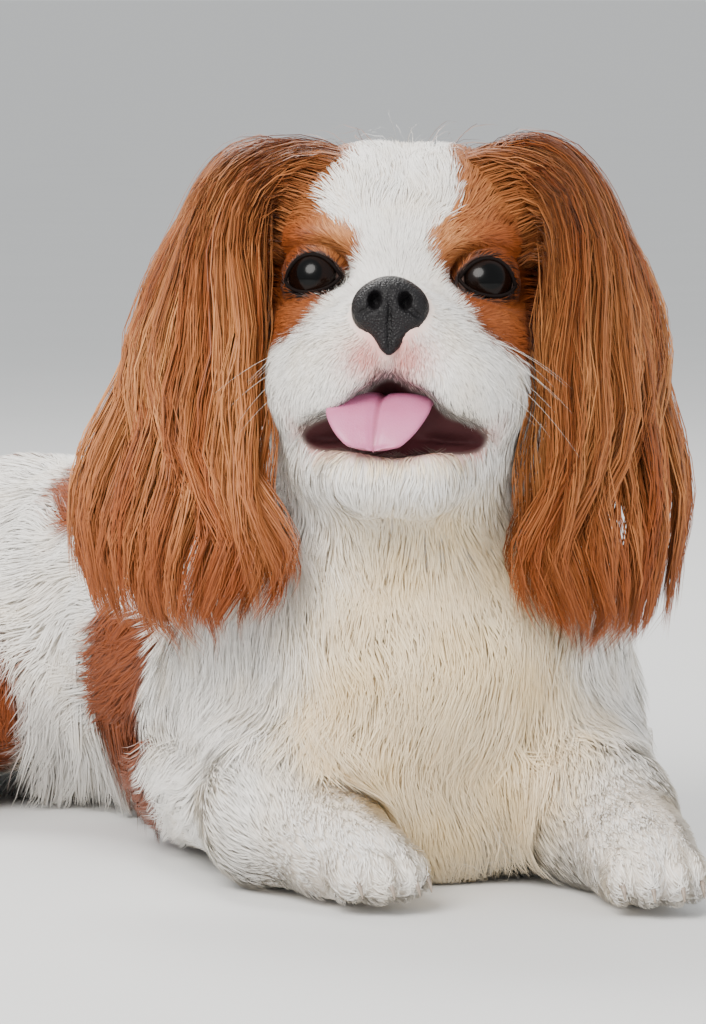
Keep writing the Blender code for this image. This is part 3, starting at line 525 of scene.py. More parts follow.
def surface(field, low, high, step):
    """The surface where field is zero inside a box, as points and quads.

    Each grid cell that the surface crosses gets one point, the mean of its edges' crossings.
    """
    low, high = array(low), array(high)
    lines = [np.arange(low[k], high[k] + step, step) for k in range(3)]
    shape = tuple(len(line) for line in lines)
    value = sparse_values(field, lines, step)
    cells = array(shape).astype(int) - 1
    sums = np.zeros((cells.prod(), 3))
    counts = np.zeros(cells.prod())
    quads = []
    for axis in range(3):
        u, w = (axis + 1) % 3, (axis + 2) % 3
        a = np.take(value, range(shape[axis] - 1), axis)
        b = np.take(value, range(1, shape[axis]), axis)
        crossed = np.argwhere((a < 0) != (b < 0))
        inner = (crossed[:, u] > 0) & (crossed[:, u] < shape[u] - 1)
        inner &= (crossed[:, w] > 0) & (crossed[:, w] < shape[w] - 1)
        crossed = crossed[inner]
        near = a[tuple(crossed.T)]
        far = b[tuple(crossed.T)]
        point = low + crossed * step
        point[:, axis] += step * near / (near - far)
        corners = []
        for du, dw in ((0, 0), (1, 0), (1, 1), (0, 1)):
            cell = crossed.copy()
            cell[:, u] -= du
            cell[:, w] -= dw
            index = (cell[:, 0] * cells[1] + cell[:, 1]) * cells[2] + cell[:, 2]
            for k in range(3):
                sums[:, k] += np.bincount(index, point[:, k], len(sums))
            counts += np.bincount(index, minlength=len(counts))
            corners.append(index)
        faces = np.stack(corners, axis=1)
        faces[near >= 0] = faces[near >= 0][:, ::-1]
        quads.append(faces)
    quads = np.concatenate(quads)
    used, quads = np.unique(quads, return_inverse=True)
    return sums[used] / counts[used][:, None], quads.reshape(-1, 4)


def mesh_of(name, points, faces, values=None):
    """A mesh from arrays of points and of triangles or quads. values are stored at its points."""
    mesh = bpy.data.meshes.new(name)
    mesh.vertices.add(len(points))
    mesh.vertices.foreach_set("co", np.asarray(points, np.float32).ravel())
    corners = faces.shape[1]
    mesh.loops.add(faces.size)
    mesh.loops.foreach_set("vertex_index", faces.ravel().astype(np.int32))
    mesh.polygons.add(len(faces))
    mesh.polygons.foreach_set("loop_start", np.arange(0, faces.size, corners, dtype=np.int32))
    mesh.update(calc_edges=True)
    mesh.shade_smooth()
    for key, value in (values or {}).items():
        mesh.attributes.new(key, "FLOAT", "POINT").data.foreach_set("value", value.astype(np.float32))
    obj = bpy.data.objects.new(name, mesh)
    bpy.context.scene.collection.objects.link(obj)
    return obj


NECK_CUT_PLACE = from_head((0, -0.045, -0.066))
NECK_CUT_NORMAL = unit((HEAD_AXES @ array((0, -0.66, -0.75)))[None])[0]
NECK_LAP = 0.022  # how far the head's part of the skin runs down inside the neck's coat


def behind_head(p):
    """How far a point lies behind the plane between head and neck."""
    return (p - NECK_CUT_PLACE) @ NECK_CUT_NORMAL


def nose_field(p):
    q = to_head(p) - array(NOSE_PLACE)
    m = mirrored(q)
    pad = ellipsoid(q, (0, 0.0000, 0.0025), (0.0120, 0.0100, 0.0095))
    wing = ellipsoid(m, (0.0085, -0.0005, -0.0010), (0.0058, 0.0080, 0.0068))
    base = limb(m, (0.0050, 0.0010, -0.0055), (0.0000, 0.0020, -0.0168), 0.0062, 0.0012)
    core = limb(q, (0, 0.0010, -0.0040), (0, 0.0020, -0.0140), 0.0070, 0.0024)
    return blend(blend(blend(pad, wing, 0.005), base, 0.005), core, 0.004)


def skin_field(p):
    """The skin under the coat, with a bed for the nose that is deeper along the nose's groove."""
    q = to_head(p) - array(NOSE_PLACE)
    groove_bed = limb(q, (0, 0.0104, 0.0030), (0, 0.0048, -0.0120), 0.0028, 0.0022)
    return np.maximum(flesh_field(p) + coat_depth(p), -np.minimum(nose_field(p) + 0.0012, groove_bed))


def head_skin_field(p):
    """The head's part of the skin, down to its end inside the neck's coat."""
    return np.maximum(skin_field(p), behind_head(p) - NECK_LAP)


def body_skin_field(p):
    """The body's part of the skin, a little thinner than the head's where the two lie over each other."""
    return np.maximum(skin_field(p) + 0.0006, 0.004 - behind_head(p))


WHITE_EDGE = (
    # height over the eyes' level and half the white's width there: narrow between the eyes, wide over the
    # brow and over the muzzle
    (-0.0400, 0.0600), (-0.0300, 0.0450), (-0.0216, 0.0326), (-0.0149, 0.0283), (-0.0056, 0.0215),
    (0.0029, 0.0150), (0.0080, 0.0125), (0.0140, 0.0130), (0.0216, 0.0250), (0.0299, 0.0285),
    (0.0384, 0.0240), (0.0469, 0.0190), (0.0530, 0.0150),
)


def face_height(q):
    """Height over the eyes' level as the face is seen from ahead, a little from below."""
    return 0.977 * q[..., 2] + 0.211 * q[..., 1] - 0.0018


BODY_PATCHES = (
    # centre and radii: behind the right shoulder, on its elbow, on the loin, on the right thigh, on the left
    # ribs and at the tail's root
    ((-0.100, 0.066, 0.046), (0.041, 0.046, 0.054)),
    ((-0.104, 0.034, 0.030), (0.027, 0.040, 0.034)),
    ((-0.126, 0.155, 0.125), (0.021, 0.045, 0.019)),
    ((-0.180, 0.142, 0.045), (0.030, 0.050, 0.034)),
    ((0.030, 0.150, 0.085), (0.034, 0.062, 0.045)),
    ((-0.170, 0.290, 0.125), (0.040, 0.044, 0.034)),
)


def chestnut(p):
    """Share of chestnut in the coat, from 0 to 1, at points of the body."""
    q = to_head(p)
    height = face_height(q)
    heights, widths = zip(*WHITE_EDGE)
    centre = -0.0020 - 0.0040 * ramp(height, 0.008, 0.024) + 0.0050 * ramp(height, 0.030, 0.050)
    behind = ramp(-q[..., 1], 0.062, 0.084)
    white = np.interp(height, heights, widths) * (1.0 - behind) - 0.004 * behind
    on_face = ramp(np.abs(q[..., 0] - centre) - white, -0.0014, 0.0014)
    on_face = on_face * ramp(height, -0.046, -0.036)
    patch = np.zeros(on_face.shape)
    for middle, radii in BODY_PATCHES:
        patch = np.maximum(patch, ramp(ellipsoid(p, middle, radii), 0.003, -0.003))
    return np.where(behind_head(p) < 0.006, on_face, patch)


def from_nose(p):
    """Distance from the nose pad's middle."""
    return length_of(to_head(p) - array(NOSE_PLACE))


def pink(p):
    """Where pink skin shows through thin hair: under the nose and at the lips' corners."""
    q = to_head(p)
    spot = q - array((-0.0025, 0.0440, -0.0420))
    spot[..., 0] = np.abs(spot[..., 0]) - 0.0078
    under_nose = np.exp(-(spot**2 / array((0.0090, 0.0140, 0.0085)) ** 2).sum(axis=-1))
    corner = mirrored(q) - array((0.034, 0.020, -0.066))
    at_corner = np.exp(-(corner**2 / 0.0075**2).sum(axis=-1))
    rim = ramp(from_nose(p), 0.0180, 0.0135)
    lower_lip = ramp(gape_field(q), 0.0080, 0.0010) * ramp(q[..., 2], -0.066, -0.072) * (q[..., 1] > 0.010)
    return np.clip(1.0 * under_nose + 0.6 * at_corner + 0.30 * rim + 0.50 * lower_lip, 0.0, 1.0)


def gold(p):
    """Share of the paler tan in the chestnut over the brows and under the eyes, and painted light up the
    head.
    """
    q = to_head(p)
    brow = np.stack((np.abs(q[..., 0] + 0.003) - 0.0195, face_height(q) - 0.013), axis=-1)
    cheek = np.stack((np.abs(q[..., 0]) - 0.040, face_height(q) + 0.016), axis=-1)
    on_brow = np.exp(-(brow**2 / 0.0095**2).sum(axis=-1))
    on_cheek = np.exp(-(cheek**2 / 0.009**2).sum(axis=-1))
    in_front = ramp(q[..., 1], -0.045, -0.025)
    spots = (0.9 * on_brow + 0.15 * on_cheek) * in_front
    # painted light: the chestnut is paler the higher it lies on the head, where the temples' hair shades it
    return np.clip(spots + 0.50 * ramp(face_height(q), 0.010, 0.030), 0.0, 1.0)


def dark(p):
    """Dark skin and hair at the lids' edges and the lips, and painted shadow under the lower lip, 0 to 1."""
    q = to_head(p)
    e = to_eye(q)
    rim = ramp(almond(e), 0.0042, 0.0014) * ramp(np.abs(length_of(e) - EYE_RADIUS), 0.008, 0.004)
    gape = gape_field(q)
    below = ramp(q[..., 2], -0.066, -0.072)
    # painted shadow: the second term darkens the hair under the lower lip, where the tongue lies over it
    lips = 0.75 * ramp(gape, 0.0016, 0.0002) + 0.30 * ramp(gape, 0.0055, 0.0008) * below
    return np.maximum(rim, np.minimum(lips, 0.85))


def cream(p):
    """Share of cream in the white coat: down the chest's middle, and painted shadow along the lower lip."""
    chest = 0.9 * ramp(ellipsoid(p, (0.016, -0.090, 0.075), (0.050, 0.040, 0.070)), 0.026, -0.012)
    q = to_head(p)
    # painted shadow: cream-tan hair under the lower lip, where the tongue lies over it
    lip = ramp(ellipsoid(q, (0, 0.030, -0.074), (0.034, 0.030, 0.012)), 0.004, -0.004)
    return np.maximum(chest, 0.7 * lip)


def markings(p):
    """All the coat's colours at points of the body, with the painted light and shadow that some of them
    carry.
    """
    return {"chestnut": chestnut(p), "cream": cream(p), "gold": gold(p), "pink": pink(p), "dark": dark(p)}


def mouth_lining(p):
    """The wet lining of the mouth, from 0 to 1."""
    return ramp(gape_field(to_head(p)), 0.0004, -0.0010)


HEAD_STEP = 0.00125
BODY_STEP = 0.0030
LOWEST_SKIN = 0.0004
HEAD_BOX = ((-0.066, -0.150, 0.090), (0.066, 0.060, 0.305))
BODY_BOX = ((-0.320, -0.180, -0.008), (0.160, 0.470, 0.240))

head_points, head_quads = surface(head_skin_field, *HEAD_BOX, HEAD_STEP)
end_cap = behind_head(head_points[head_quads].mean(axis=1)) > NECK_LAP - 0.001
head_quads = head_quads[~end_cap]
body_points, body_quads = surface(body_skin_field, *BODY_BOX, BODY_STEP)
body_points[:, 2] = np.maximum(body_points[:, 2], LOWEST_SKIN)
skin_points = np.concatenate((head_points, body_points))
skin_quads = np.concatenate((head_quads, body_quads + len(head_points)))
skin_marks = {**markings(skin_points), "mouth": mouth_lining(skin_points)}
skin = mesh_of("skin", skin_points, skin_quads, skin_marks)

CHESTNUT_HAIR = (0.29, 0.066, 0.012, 1)
DARK_CHESTNUT = (0.17, 0.036, 0.008, 1)
PINK_SKIN = (0.70, 0.25, 0.22, 1)
DARK_SKIN = (0.012, 0.007, 0.006, 1)
MOUTH_LINING = (0.075, 0.018, 0.020, 1)

skin_finish = Finish("skin", Roughness=0.72)
pores = skin_finish.noise(900.0, where=skin_finish.place())
mottle = skin_finish.noise(60.0, where=skin_finish.place())
hair_white = skin_finish.mixed(mottle, (0.80, 0.72, 0.63, 1), (0.86, 0.80, 0.72, 1))
hair_red = skin_finish.mixed(mottle, DARK_CHESTNUT, CHESTNUT_HAIR)
skin_colour = skin_finish.mixed(skin_finish.stored("chestnut"), hair_white, hair_red)
# the dark mark also holds painted shadow under the lower lip
for mark, colour in (("pink", PINK_SKIN), ("dark", DARK_SKIN), ("mouth", MOUTH_LINING)):
    skin_colour = skin_finish.mixed(skin_finish.stored(mark), skin_colour, colour)
skin_finish.feed("Base Color", skin_colour)
skin_finish.bump(pores, 0.35, 0.0004)
skin.data.materials.append(skin_finish.material)
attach(skin, "root")
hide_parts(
    "head", "neck", "torso", "foreleg_left", "foreleg_right", "hindleg_left", "hindleg_right", "tail"
)

# Eyes: wet balls that sit in the skull's sockets, each with a clear dome over a wide pupil. The iris is of a
# brown so dark that it looks black, and it nearly fills the opening between the lids.
PUPIL_EDGE = 24.0 / 90  # off the gaze, as a share of a right angle
IRIS_EDGE = 52.0 / 90
CORNEA_RISE = 0.0005
EYE_RINGS = 36
EYE_SPOKES = 56


def eye_point(side, e):
    """Points of the body from points of the left eye's own axes, on either side of the head."""
    q = array(EYE_CENTRE) + array(e) @ EYE_AXES.T
    q[..., 0] = q[..., 0] * side
    return from_head(q)


eye_finish = Finish(
    "eyeball", Roughness=0.25, Specular_IOR_Level=0.08, Coat_Weight=0.34, Coat_Roughness=0.10, Coat_IOR=1.34
)
off_gaze = eye_finish.stored("off_gaze") * (1 / 90.0)
streaks = eye_finish.noise(140.0, 4.0, eye_finish.place())
iris_colour = eye_finish.mixed(streaks, (0.003, 0.0014, 0.0010, 1), (0.010, 0.0038, 0.0020, 1))
rings = eye_finish.node("ShaderNodeValToRGB", {"stops": (
    (0.0, (0.003, 0.003, 0.003, 1)),
    (PUPIL_EDGE - 0.02, (0.003, 0.003, 0.003, 1)),
    (PUPIL_EDGE + 0.03, (0.9, 0.9, 0.9, 1)),
    (IRIS_EDGE - 0.10, (0.7, 0.7, 0.7, 1)),
    (IRIS_EDGE, (0.10, 0.08, 0.08, 1)),
)}, {"Fac": off_gaze})
white_share = eye_finish.node(
    "ShaderNodeMapRange", None, {"Value": off_gaze, 1: IRIS_EDGE, 2: IRIS_EDGE + 0.05, 3: 0.0, 4: 1.0}
)
ball_colour = eye_finish.mixed(1.0, iris_colour, rings, "MULTIPLY")
ball_colour = eye_finish.mixed(white_share, ball_colour, (0.10, 0.065, 0.055, 1))
eye_finish.feed("Base Color", ball_colour)
eye_finish.bump(streaks, 0.04, 0.0002)

for name, side in SIDES.items():
    angle = np.linspace(0, math.pi, EYE_RINGS + 1)[1:-1]
    k = np.arange(EYE_SPOKES)
    spoke = k * 2 * math.pi / EYE_SPOKES
    reach = EYE_RADIUS + CORNEA_RISE * np.exp(-((angle / 0.75) ** 2))
    ball = np.stack((
        np.outer(np.sin(angle) * reach, np.cos(spoke)),
        np.outer(np.cos(angle) * reach, np.ones(EYE_SPOKES)),
        np.outer(np.sin(angle) * reach, np.sin(spoke)),
    ), axis=-1).reshape(-1, 3)
    poles = array(((0, reach[0], 0), (0, -reach[-1], 0)))
    triangles = []
    for r in range(EYE_RINGS - 2):
        a, b = r * EYE_SPOKES + k, r * EYE_SPOKES + (k + 1) % EYE_SPOKES
        triangles += [np.stack((a, b, b + EYE_SPOKES), 1), np.stack((a, b + EYE_SPOKES, a + EYE_SPOKES), 1)]
    front, last = len(ball), (EYE_RINGS - 2) * EYE_SPOKES
    triangles.append(np.stack((np.full(EYE_SPOKES, front), (k + 1) % EYE_SPOKES, k), 1))
    triangles.append(np.stack((np.full(EYE_SPOKES, front + 1), last + k, last + (k + 1) % EYE_SPOKES), 1))
    off = np.degrees(np.concatenate((np.repeat(angle, EYE_SPOKES), (0.0, math.pi))))
    eye_points = eye_point(side, np.concatenate((ball, poles)))
    eye = mesh_of("eyeball_" + name, eye_points, np.concatenate(triangles), {"off_gaze": off})
    eye.data.materials.append(eye_finish.material)
    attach(eye, "root")
    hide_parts("eye_" + name)

# Lids: the bare dark edge of the skin round each eye, kept wet by tears. It is a thin roll that lies on the
# ball along the opening's outline, and it hides the seam between the ball and the face's skin.
LID_ROLL = 0.0007
LID_STATIONS = 65


def ring_quads(index):
    """Quads between neighbouring rings. index has the points' numbers by ring and by place on the ring."""
    turned_index = np.roll(index, -1, axis=-1)
    near = (index[..., :-1, :], turned_index[..., :-1, :])
    far = (turned_index[..., 1:, :], index[..., 1:, :])
    return np.stack((*near, *far), axis=-1).reshape(-1, 4)


def halved(quads):
    """Each quad as two triangles, all first halves before the second ones."""
    return np.concatenate((quads[:, (0, 1, 2)], quads[:, (0, 2, 3)]))


def tubes(paths, radii, sides):
    """Points and triangles of tubes along paths (tube, station, xyz), with radii (tube, station)."""
    count, stations = paths.shape[:2]
    along = unit(np.gradient(paths, axis=1))
    across = unit(np.cross(along, array((0.13, 0.09, 1.0))))
    other = np.cross(across, along)
    angle = np.arange(sides) * 2 * math.pi / sides
    ring = across[:, :, None] * np.cos(angle)[:, None] + other[:, :, None] * np.sin(angle)[:, None]
    points = paths[:, :, None] + ring * radii[:, :, None, None]
    index = np.arange(count * stations * sides).reshape(count, stations, sides)
    return points.reshape(-1, 3), halved(ring_quads(index))


lid_paths = []
for side in SIDES.values():
    angle = np.linspace(0, 2 * math.pi, LID_STATIONS)
    x = LID_HALF_WIDTH * np.cos(angle)
    drop = (LID_HALF_WIDTH**2 - LID_HALF_HEIGHT**2) / (2 * LID_HALF_HEIGHT)
    arc = np.sqrt((LID_HALF_HEIGHT + drop) ** 2 - x**2) - drop
    z = arc * np.sign(np.sin(angle) + 1e-9) - CORNER_DROP * (x / LID_HALF_WIDTH) ** 2
    y = np.sqrt(np.maximum((EYE_RADIUS + 0.0002) ** 2 - x**2 - z**2, 0.0))
    lid_paths.append(eye_point(side, np.stack((x, y, z), axis=-1) * array((1.05, 1.0, 1.07))))
lid_points, lid_faces = tubes(array(lid_paths), np.full((2, LID_STATIONS), LID_ROLL), 10)
lids = mesh_of("lids", lid_points, lid_faces)
lid_finish = Finish("lid", Roughness=0.7, Specular_IOR_Level=0.05)
lid_finish.bump(lid_finish.speckled(1200.0, (0.004, 0.003, 0.003, 1), (0.012, 0.008, 0.007, 1)), 0.3, 0.0003)
lids.data.materials.append(lid_finish.material)
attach(lids, "root")

# Nose: a moist black pad of bare skin over gristle, pebbled like leather. It has a nostril with its slit on
# each side and a groove down the middle, and it stands in a bed in the face's skin.
NOSE_STEP = 0.0006


def opened_nose(p):
    q = to_head(p) - array(NOSE_PLACE)
    m = mirrored(q)
    nostril = ellipsoid(m, (0.0056, 0.0090, 0.0014), (0.0025, 0.0070, 0.0034))
    slit = limb(m, (0.0066, 0.0092, -0.0016), (0.0112, 0.0062, -0.0042), 0.0013, 0.0009)
    groove = limb(q, (0, 0.0104, 0.0030), (0, 0.0036, -0.0175), 0.0005, 0.0007)
    form = carve(nose_field(p), blend(nostril, slit, 0.002), 0.0014)
    return carve(form, groove, 0.0014)


nose_points, nose_quads = surface(opened_nose, (-0.040, -0.150, 0.180), (0.040, -0.060, 0.250), NOSE_STEP)
nose = mesh_of("nose_pad", nose_points, nose_quads)
nose_finish = Finish("nose_leather", Specular_IOR_Level=0.22, Coat_Weight=0.05, Coat_Roughness=0.3)
pebbles = nose_finish.node("ShaderNodeTexVoronoi", None, {"Vector": nose_finish.place(), "Scale": 1150.0})
blotch = nose_finish.speckled(160.0, (0.003, 0.0026, 0.003, 1), (0.011, 0.010, 0.011, 1))
nose_finish.feed("Roughness", 0.34 + blotch * 0.25)
nose_finish.bump(pebbles, 0.9, 0.0006)
nose.data.materials.append(nose_finish.material)
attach(nose, "root")
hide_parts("nose")

# Tongue: a soft, wet muscle that is rooted in the floor of the mouth and lies out over the lower lip. It has
# a groove along its middle and rolled edges, and its tip bends down.
TONGUE_RINGS = 44
TONGUE_SIDES = 48
TONGUE = (
    # across, ahead, up, half width, half thickness
    (0.0000, -0.0040, -0.0600, 0.0110, 0.0050),
    (-0.0005, 0.0060, -0.0565, 0.0140, 0.0050),
    (-0.0020, 0.0170, -0.0545, 0.0170, 0.0048),
    (-0.0045, 0.0280, -0.0560, 0.0190, 0.0044),
    (-0.0060, 0.0370, -0.0620, 0.0190, 0.0038),
    (-0.0066, 0.0425, -0.0700, 0.0150, 0.0030),
    (-0.0068, 0.0450, -0.0765, 0.0090, 0.0018),
)


def spline(values, t):
    """Points of a smooth curve through values at even steps, for an array t from 0 to 1."""
    values = array(values)
    last = len(values) - 1
    position = np.clip(t, 0.0, 1.0) * last
    k = np.minimum(position.astype(int), last - 1)
    f = (position - k)[..., None]
    a, b = values[np.maximum(k - 1, 0)], values[k]
    c, d = values[k + 1], values[np.minimum(k + 2, last)]
    return 0.5 * (2 * b + (c - a) * f + (2 * a - 5 * b + 4 * c - d) * f**2 + (3 * b - a - 3 * c + d) * f**3)


def closed(obj):
    """Cap the open ends of a mesh and turn all its faces outward."""
    bm = bmesh.new()
    bm.from_mesh(obj.data)
    bmesh.ops.holes_fill(bm, edges=[edge for edge in bm.edges if edge.is_boundary], sides=0)
    bmesh.ops.recalc_face_normals(bm, faces=bm.faces)
    bm.to_mesh(obj.data)
    bm.free()


t = np.linspace(0.0, 1.0, TONGUE_RINGS)
shape = spline(TONGUE, t)
tip = np.sqrt(np.clip((1.0 - t) / 0.05, 0.0, 1.0))
run = np.gradient(shape[:, 1:3], axis=0)
run /= length_of(run)[:, None]
angle = np.arange(TONGUE_SIDES) * 2 * math.pi / TONGUE_SIDES
side, top = np.cos(angle), np.sin(angle)
half_width = (shape[:, 3] * (0.35 + 0.65 * tip))[:, None]
rise = shape[:, 4][:, None] * np.sign(top) * np.abs(top) ** 0.8 * tip[:, None]
lift = rise - 0.0017 * np.exp(-((side / 0.09) ** 2)) * np.maximum(top, 0.0) + 0.0016 * side * side
across = shape[:, 0][:, None] + half_width * side
ahead = shape[:, 1][:, None] - run[:, 1][:, None] * lift
up = shape[:, 2][:, None] + run[:, 0][:, None] * lift
ring_points = from_head(np.stack((across, ahead, up), axis=-1).reshape(-1, 3))
tongue_faces = ring_quads(np.arange(TONGUE_RINGS * TONGUE_SIDES).reshape(TONGUE_RINGS, TONGUE_SIDES))
tongue = mesh_of("tongue_flesh", ring_points, tongue_faces, {"aside": np.tile(side, TONGUE_RINGS)})
closed(tongue)
tongue_finish = Finish(
    "tongue_skin", Roughness=0.48, Coat_Weight=0.25, Coat_Roughness=0.22, Subsurface_Weight=0.12
)
tongue_finish.shader.inputs["Subsurface Radius"].default_value = (0.004, 0.0015, 0.001)
taste = tongue_finish.noise(1400.0, where=tongue_finish.place())
bands = tongue_finish.noise(90.0, where=tongue_finish.place())
aside = tongue_finish.stored("aside")
# painted shade: the tongue is darker along the groove down its middle
groove_shade = tongue_finish.node(
    "ShaderNodeMapRange", None, {"Value": aside * aside, 1: 0.0, 2: 0.006, 3: 0.45, 4: 0.0}
)
flesh = tongue_finish.mixed(bands, (0.48, 0.110, 0.230, 1), (0.58, 0.185, 0.330, 1))
tongue_finish.feed("Base Color", tongue_finish.mixed(groove_shade, flesh, (0.20, 0.035, 0.060, 1)))
tongue_finish.bump(taste, 0.45, 0.0005)
tongue.data.materials.append(tongue_finish.material)
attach(tongue, "root")
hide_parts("tongue")

# Ear leathers: thin flaps of skin and gristle that hang from the skull's sides and carry the ears' long
# hair. They reach down to half of the ear, and the hair hides them.
EARS = {
    # height, then front edge and back edge in plan
    "left": (
        (0.2500, 0.0340, -0.0540, 0.0360, -0.0080),
        (0.2650, 0.0430, -0.0590, 0.0500, -0.0090),
        (0.2580, 0.0500, -0.0660, 0.0640, -0.0110),
        (0.2300, 0.0530, -0.0730, 0.0830, -0.0130),
        (0.1950, 0.0530, -0.0800, 0.0970, -0.0180),
        (0.1600, 0.0490, -0.0870, 0.1020, -0.0270),
        (0.1280, 0.0460, -0.0930, 0.1010, -0.0400),
        (0.0960, 0.0460, -0.0950, 0.0960, -0.0520),
    ),
    "right": (
        (0.2500, -0.0340, -0.0540, -0.0360, -0.0080),
        (0.2650, -0.0430, -0.0590, -0.0500, -0.0090),
        (0.2580, -0.0490, -0.0660, -0.0640, -0.0110),
        (0.2300, -0.0510, -0.0730, -0.0810, -0.0130),
        (0.1950, -0.0510, -0.0800, -0.0990, -0.0170),
        (0.1600, -0.0500, -0.0870, -0.1130, -0.0250),
        (0.1290, -0.0460, -0.0930, -0.1190, -0.0370),
        (0.0990, -0.0480, -0.0940, -0.1120, -0.0480),
    ),
}
EAR_LEATHER = 0.52  # how far down the ear its leather reaches
EAR_TURN = 0.22  # how far the ear's front edge is drawn back beside the eye, as a share of its half width
EAR_LENGTH = 0.225
LEATHER_RINGS = 30
LEATHER_SIDES = 40


def ear_place(name, t, u, lift):
    """Points of an ear: t down it, u from -1 at its front edge to 1 at its back, lift off its face."""
    u = u + EAR_TURN * np.clip(-u, 0.0, 1.3) * (1.0 - ramp(t, 0.36, 0.54))
    lines = spline(EARS[name], t)
    before = spline(EARS[name], np.maximum(t - 0.02, 0.0))
    change = spline(EARS[name], np.minimum(t + 0.02, 1.0)) - before
    down = change[..., (1, 2, 0)] + change[..., (3, 4, 0)]
    front, back = lines[..., (1, 2, 0)], lines[..., (3, 4, 0)]
    across = (back - front) / 2
    face = unit(np.cross(across, down)) * (-1.0 if name == "left" else 1.0)
    bulge = 0.010 * (1 - u * u) * np.sin(math.pi * np.minimum(1.0, 0.15 + 0.7 * t))
    below = np.maximum(t - 1.0, 0.0) * EAR_LENGTH
    place = (front + back) / 2 + across * u[..., None] + face * (lift + bulge)[..., None]
    return place - below[..., None] * array((0, 0, 1.0)), face


ear_finish = Finish("ear_skin", Roughness=0.7)
ear_finish.speckled(70.0, DARK_CHESTNUT, CHESTNUT_HAIR)
ear_finish.bump(ear_finish.noise(700.0, where=ear_finish.place()), 0.4, 0.0005)
for name in EARS:
    down = np.repeat(np.linspace(0.0, EAR_LEATHER, LEATHER_RINGS), LEATHER_SIDES)
    angle = np.tile(np.arange(LEATHER_SIDES) * 2 * math.pi / LEATHER_SIDES, LEATHER_RINGS)
    thick = 0.0030 * np.clip((EAR_LEATHER - down) / 0.12, 0.05, 1.0)
    leather_points, _ = ear_place(name, down, 0.94 * np.cos(angle), thick * np.sin(angle) - 0.002)
    index = np.arange(LEATHER_RINGS * LEATHER_SIDES).reshape(LEATHER_RINGS, LEATHER_SIDES)
    leather = mesh_of("ear_skin_" + name, leather_points, ring_quads(index))
    closed(leather)
    leather.data.materials.append(ear_finish.material)
    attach(leather, "root")
    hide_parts("ear_" + name)

# Head coat: short, close hair over the muzzle, brows, skull and cheeks, shortest by the nose. Each hair is a
# thin tapered strip of mesh that starts in the skin, follows the lie of the coat away from the nose, and is
# drawn together with its neighbours in small tufts.
UP = array((0.0, 0.0, 1.0))
DOWN = -UP
FLOOR_CLEAR = 0.0006
SOFTNESS = 0.72  # how much a hair's shading follows the body under it
PATCH_SIZE = 0.003  # of a hair on the bake map


def slope(p, reach=0.0007):
    """The distance from the coat's outer face and the direction off the body, at points."""
    value = flesh_field(p)
    out = np.stack([flesh_field(p + move) - value for move in np.eye(3) * reach], axis=-1)
    return value, unit(out)


def lie(p):
    """The way the coat lies at points of the body, before it is laid along the surface."""
    q = to_head(p)
    away = unit(q - array(NOSE_PLACE)) @ HEAD_AXES.T
    sag = ramp(q[:, 2], -0.030, -0.085)[:, None] * (1 + ramp(q[:, 1], 0.02, -0.04)[:, None])
    ways = [away + DOWN * sag * 1.3]
    forms = [head_field(p)]
    ways.append(np.broadcast_to(unit(array((0.02, 0.10, -1.0))[None]), p.shape))
    forms.append(neck_field(p) + 0.002)
    back = ramp(p[:, 1], -0.030, 0.060)[:, None]
    spread = array((1.0, 0.0, 0.0)) * (p[:, :1] - 0.008) * 3.0
    ways.append((DOWN + spread) * (1 - back) + (0.45 * DOWN - HIP_FORWARD) * back)
    forms.append(trunk_field(p))
    for name, joints in FORELEGS.items():
        elbow, wrist = array(joints[1][0]), array(joints[2][0])
        ways.append(np.broadcast_to(unit((wrist - elbow + array((0, 0, -0.012)))[None]), p.shape))
        forms.append(foreleg_field(p, name))
    for name, side in SIDES.items():
        thigh = unit((DOWN - 0.25 * HIP_FORWARD)[None])
        forward = unit((HIP_FORWARD + 0.2 * DOWN)[None])
        low = ramp(p[:, 2], 0.050, 0.028)[:, None]
        ways.append(thigh * (1 - low) + forward * low)
        forms.append(hindleg_field(p, name))
    joints = array([place for place, _ in TAIL])
    nearest = np.argmin(length_of(p[:, None] - (joints[:-1] + joints[1:]) / 2), axis=1)
    ways.append(unit(np.diff(joints, axis=0))[nearest])
    forms.append(tail_field(p))
    forms = np.stack(forms)
    weights = np.exp(-(forms - forms.min(axis=0)) / 0.011)
    total = sum(weight[:, None] * way for weight, way in zip(weights, ways))
    return unit(total)


def drift(p, scale, seed):
    """A smooth change through space, mostly between -1 and 1. scale is about its wavelength."""
    draw = np.random.default_rng(seed)
    total = np.zeros(p.shape[:-1])
    for _ in range(5):
        wave = draw.normal(size=3)
        wave = wave / length_of(wave) * draw.uniform(0.6, 1.6)
        total = total + np.sin(p @ wave * (2 * math.pi / scale) + draw.uniform(0, 6.3))
    return total / 2.2


def sown(points, quads, keep, seed):
    """Places spread over quads. keep gives the hairs per square metre at points."""
    draw = np.random.default_rng(seed)
    corners = points[halved(quads)]
    area = length_of(np.cross(corners[:, 1] - corners[:, 0], corners[:, 2] - corners[:, 0])) / 2
    count = draw.poisson(area * keep(corners.mean(axis=1)))
    corners = np.repeat(corners, count, axis=0)
    a, b = draw.random((2, len(corners)))
    flip = a + b > 1
    a[flip], b[flip] = 1 - a[flip], 1 - b[flip]
    first, second, third = corners.transpose(1, 0, 2)
    places = first + a[:, None] * (second - first) + b[:, None] * (third - first)
    return places[draw.permutation(len(places))]


def turned_about(ways, axes, angle):
    """Vectors turned about unit axes at right angles to them."""
    return ways * np.cos(angle)[:, None] + np.cross(axes, ways) * np.sin(angle)[:, None]


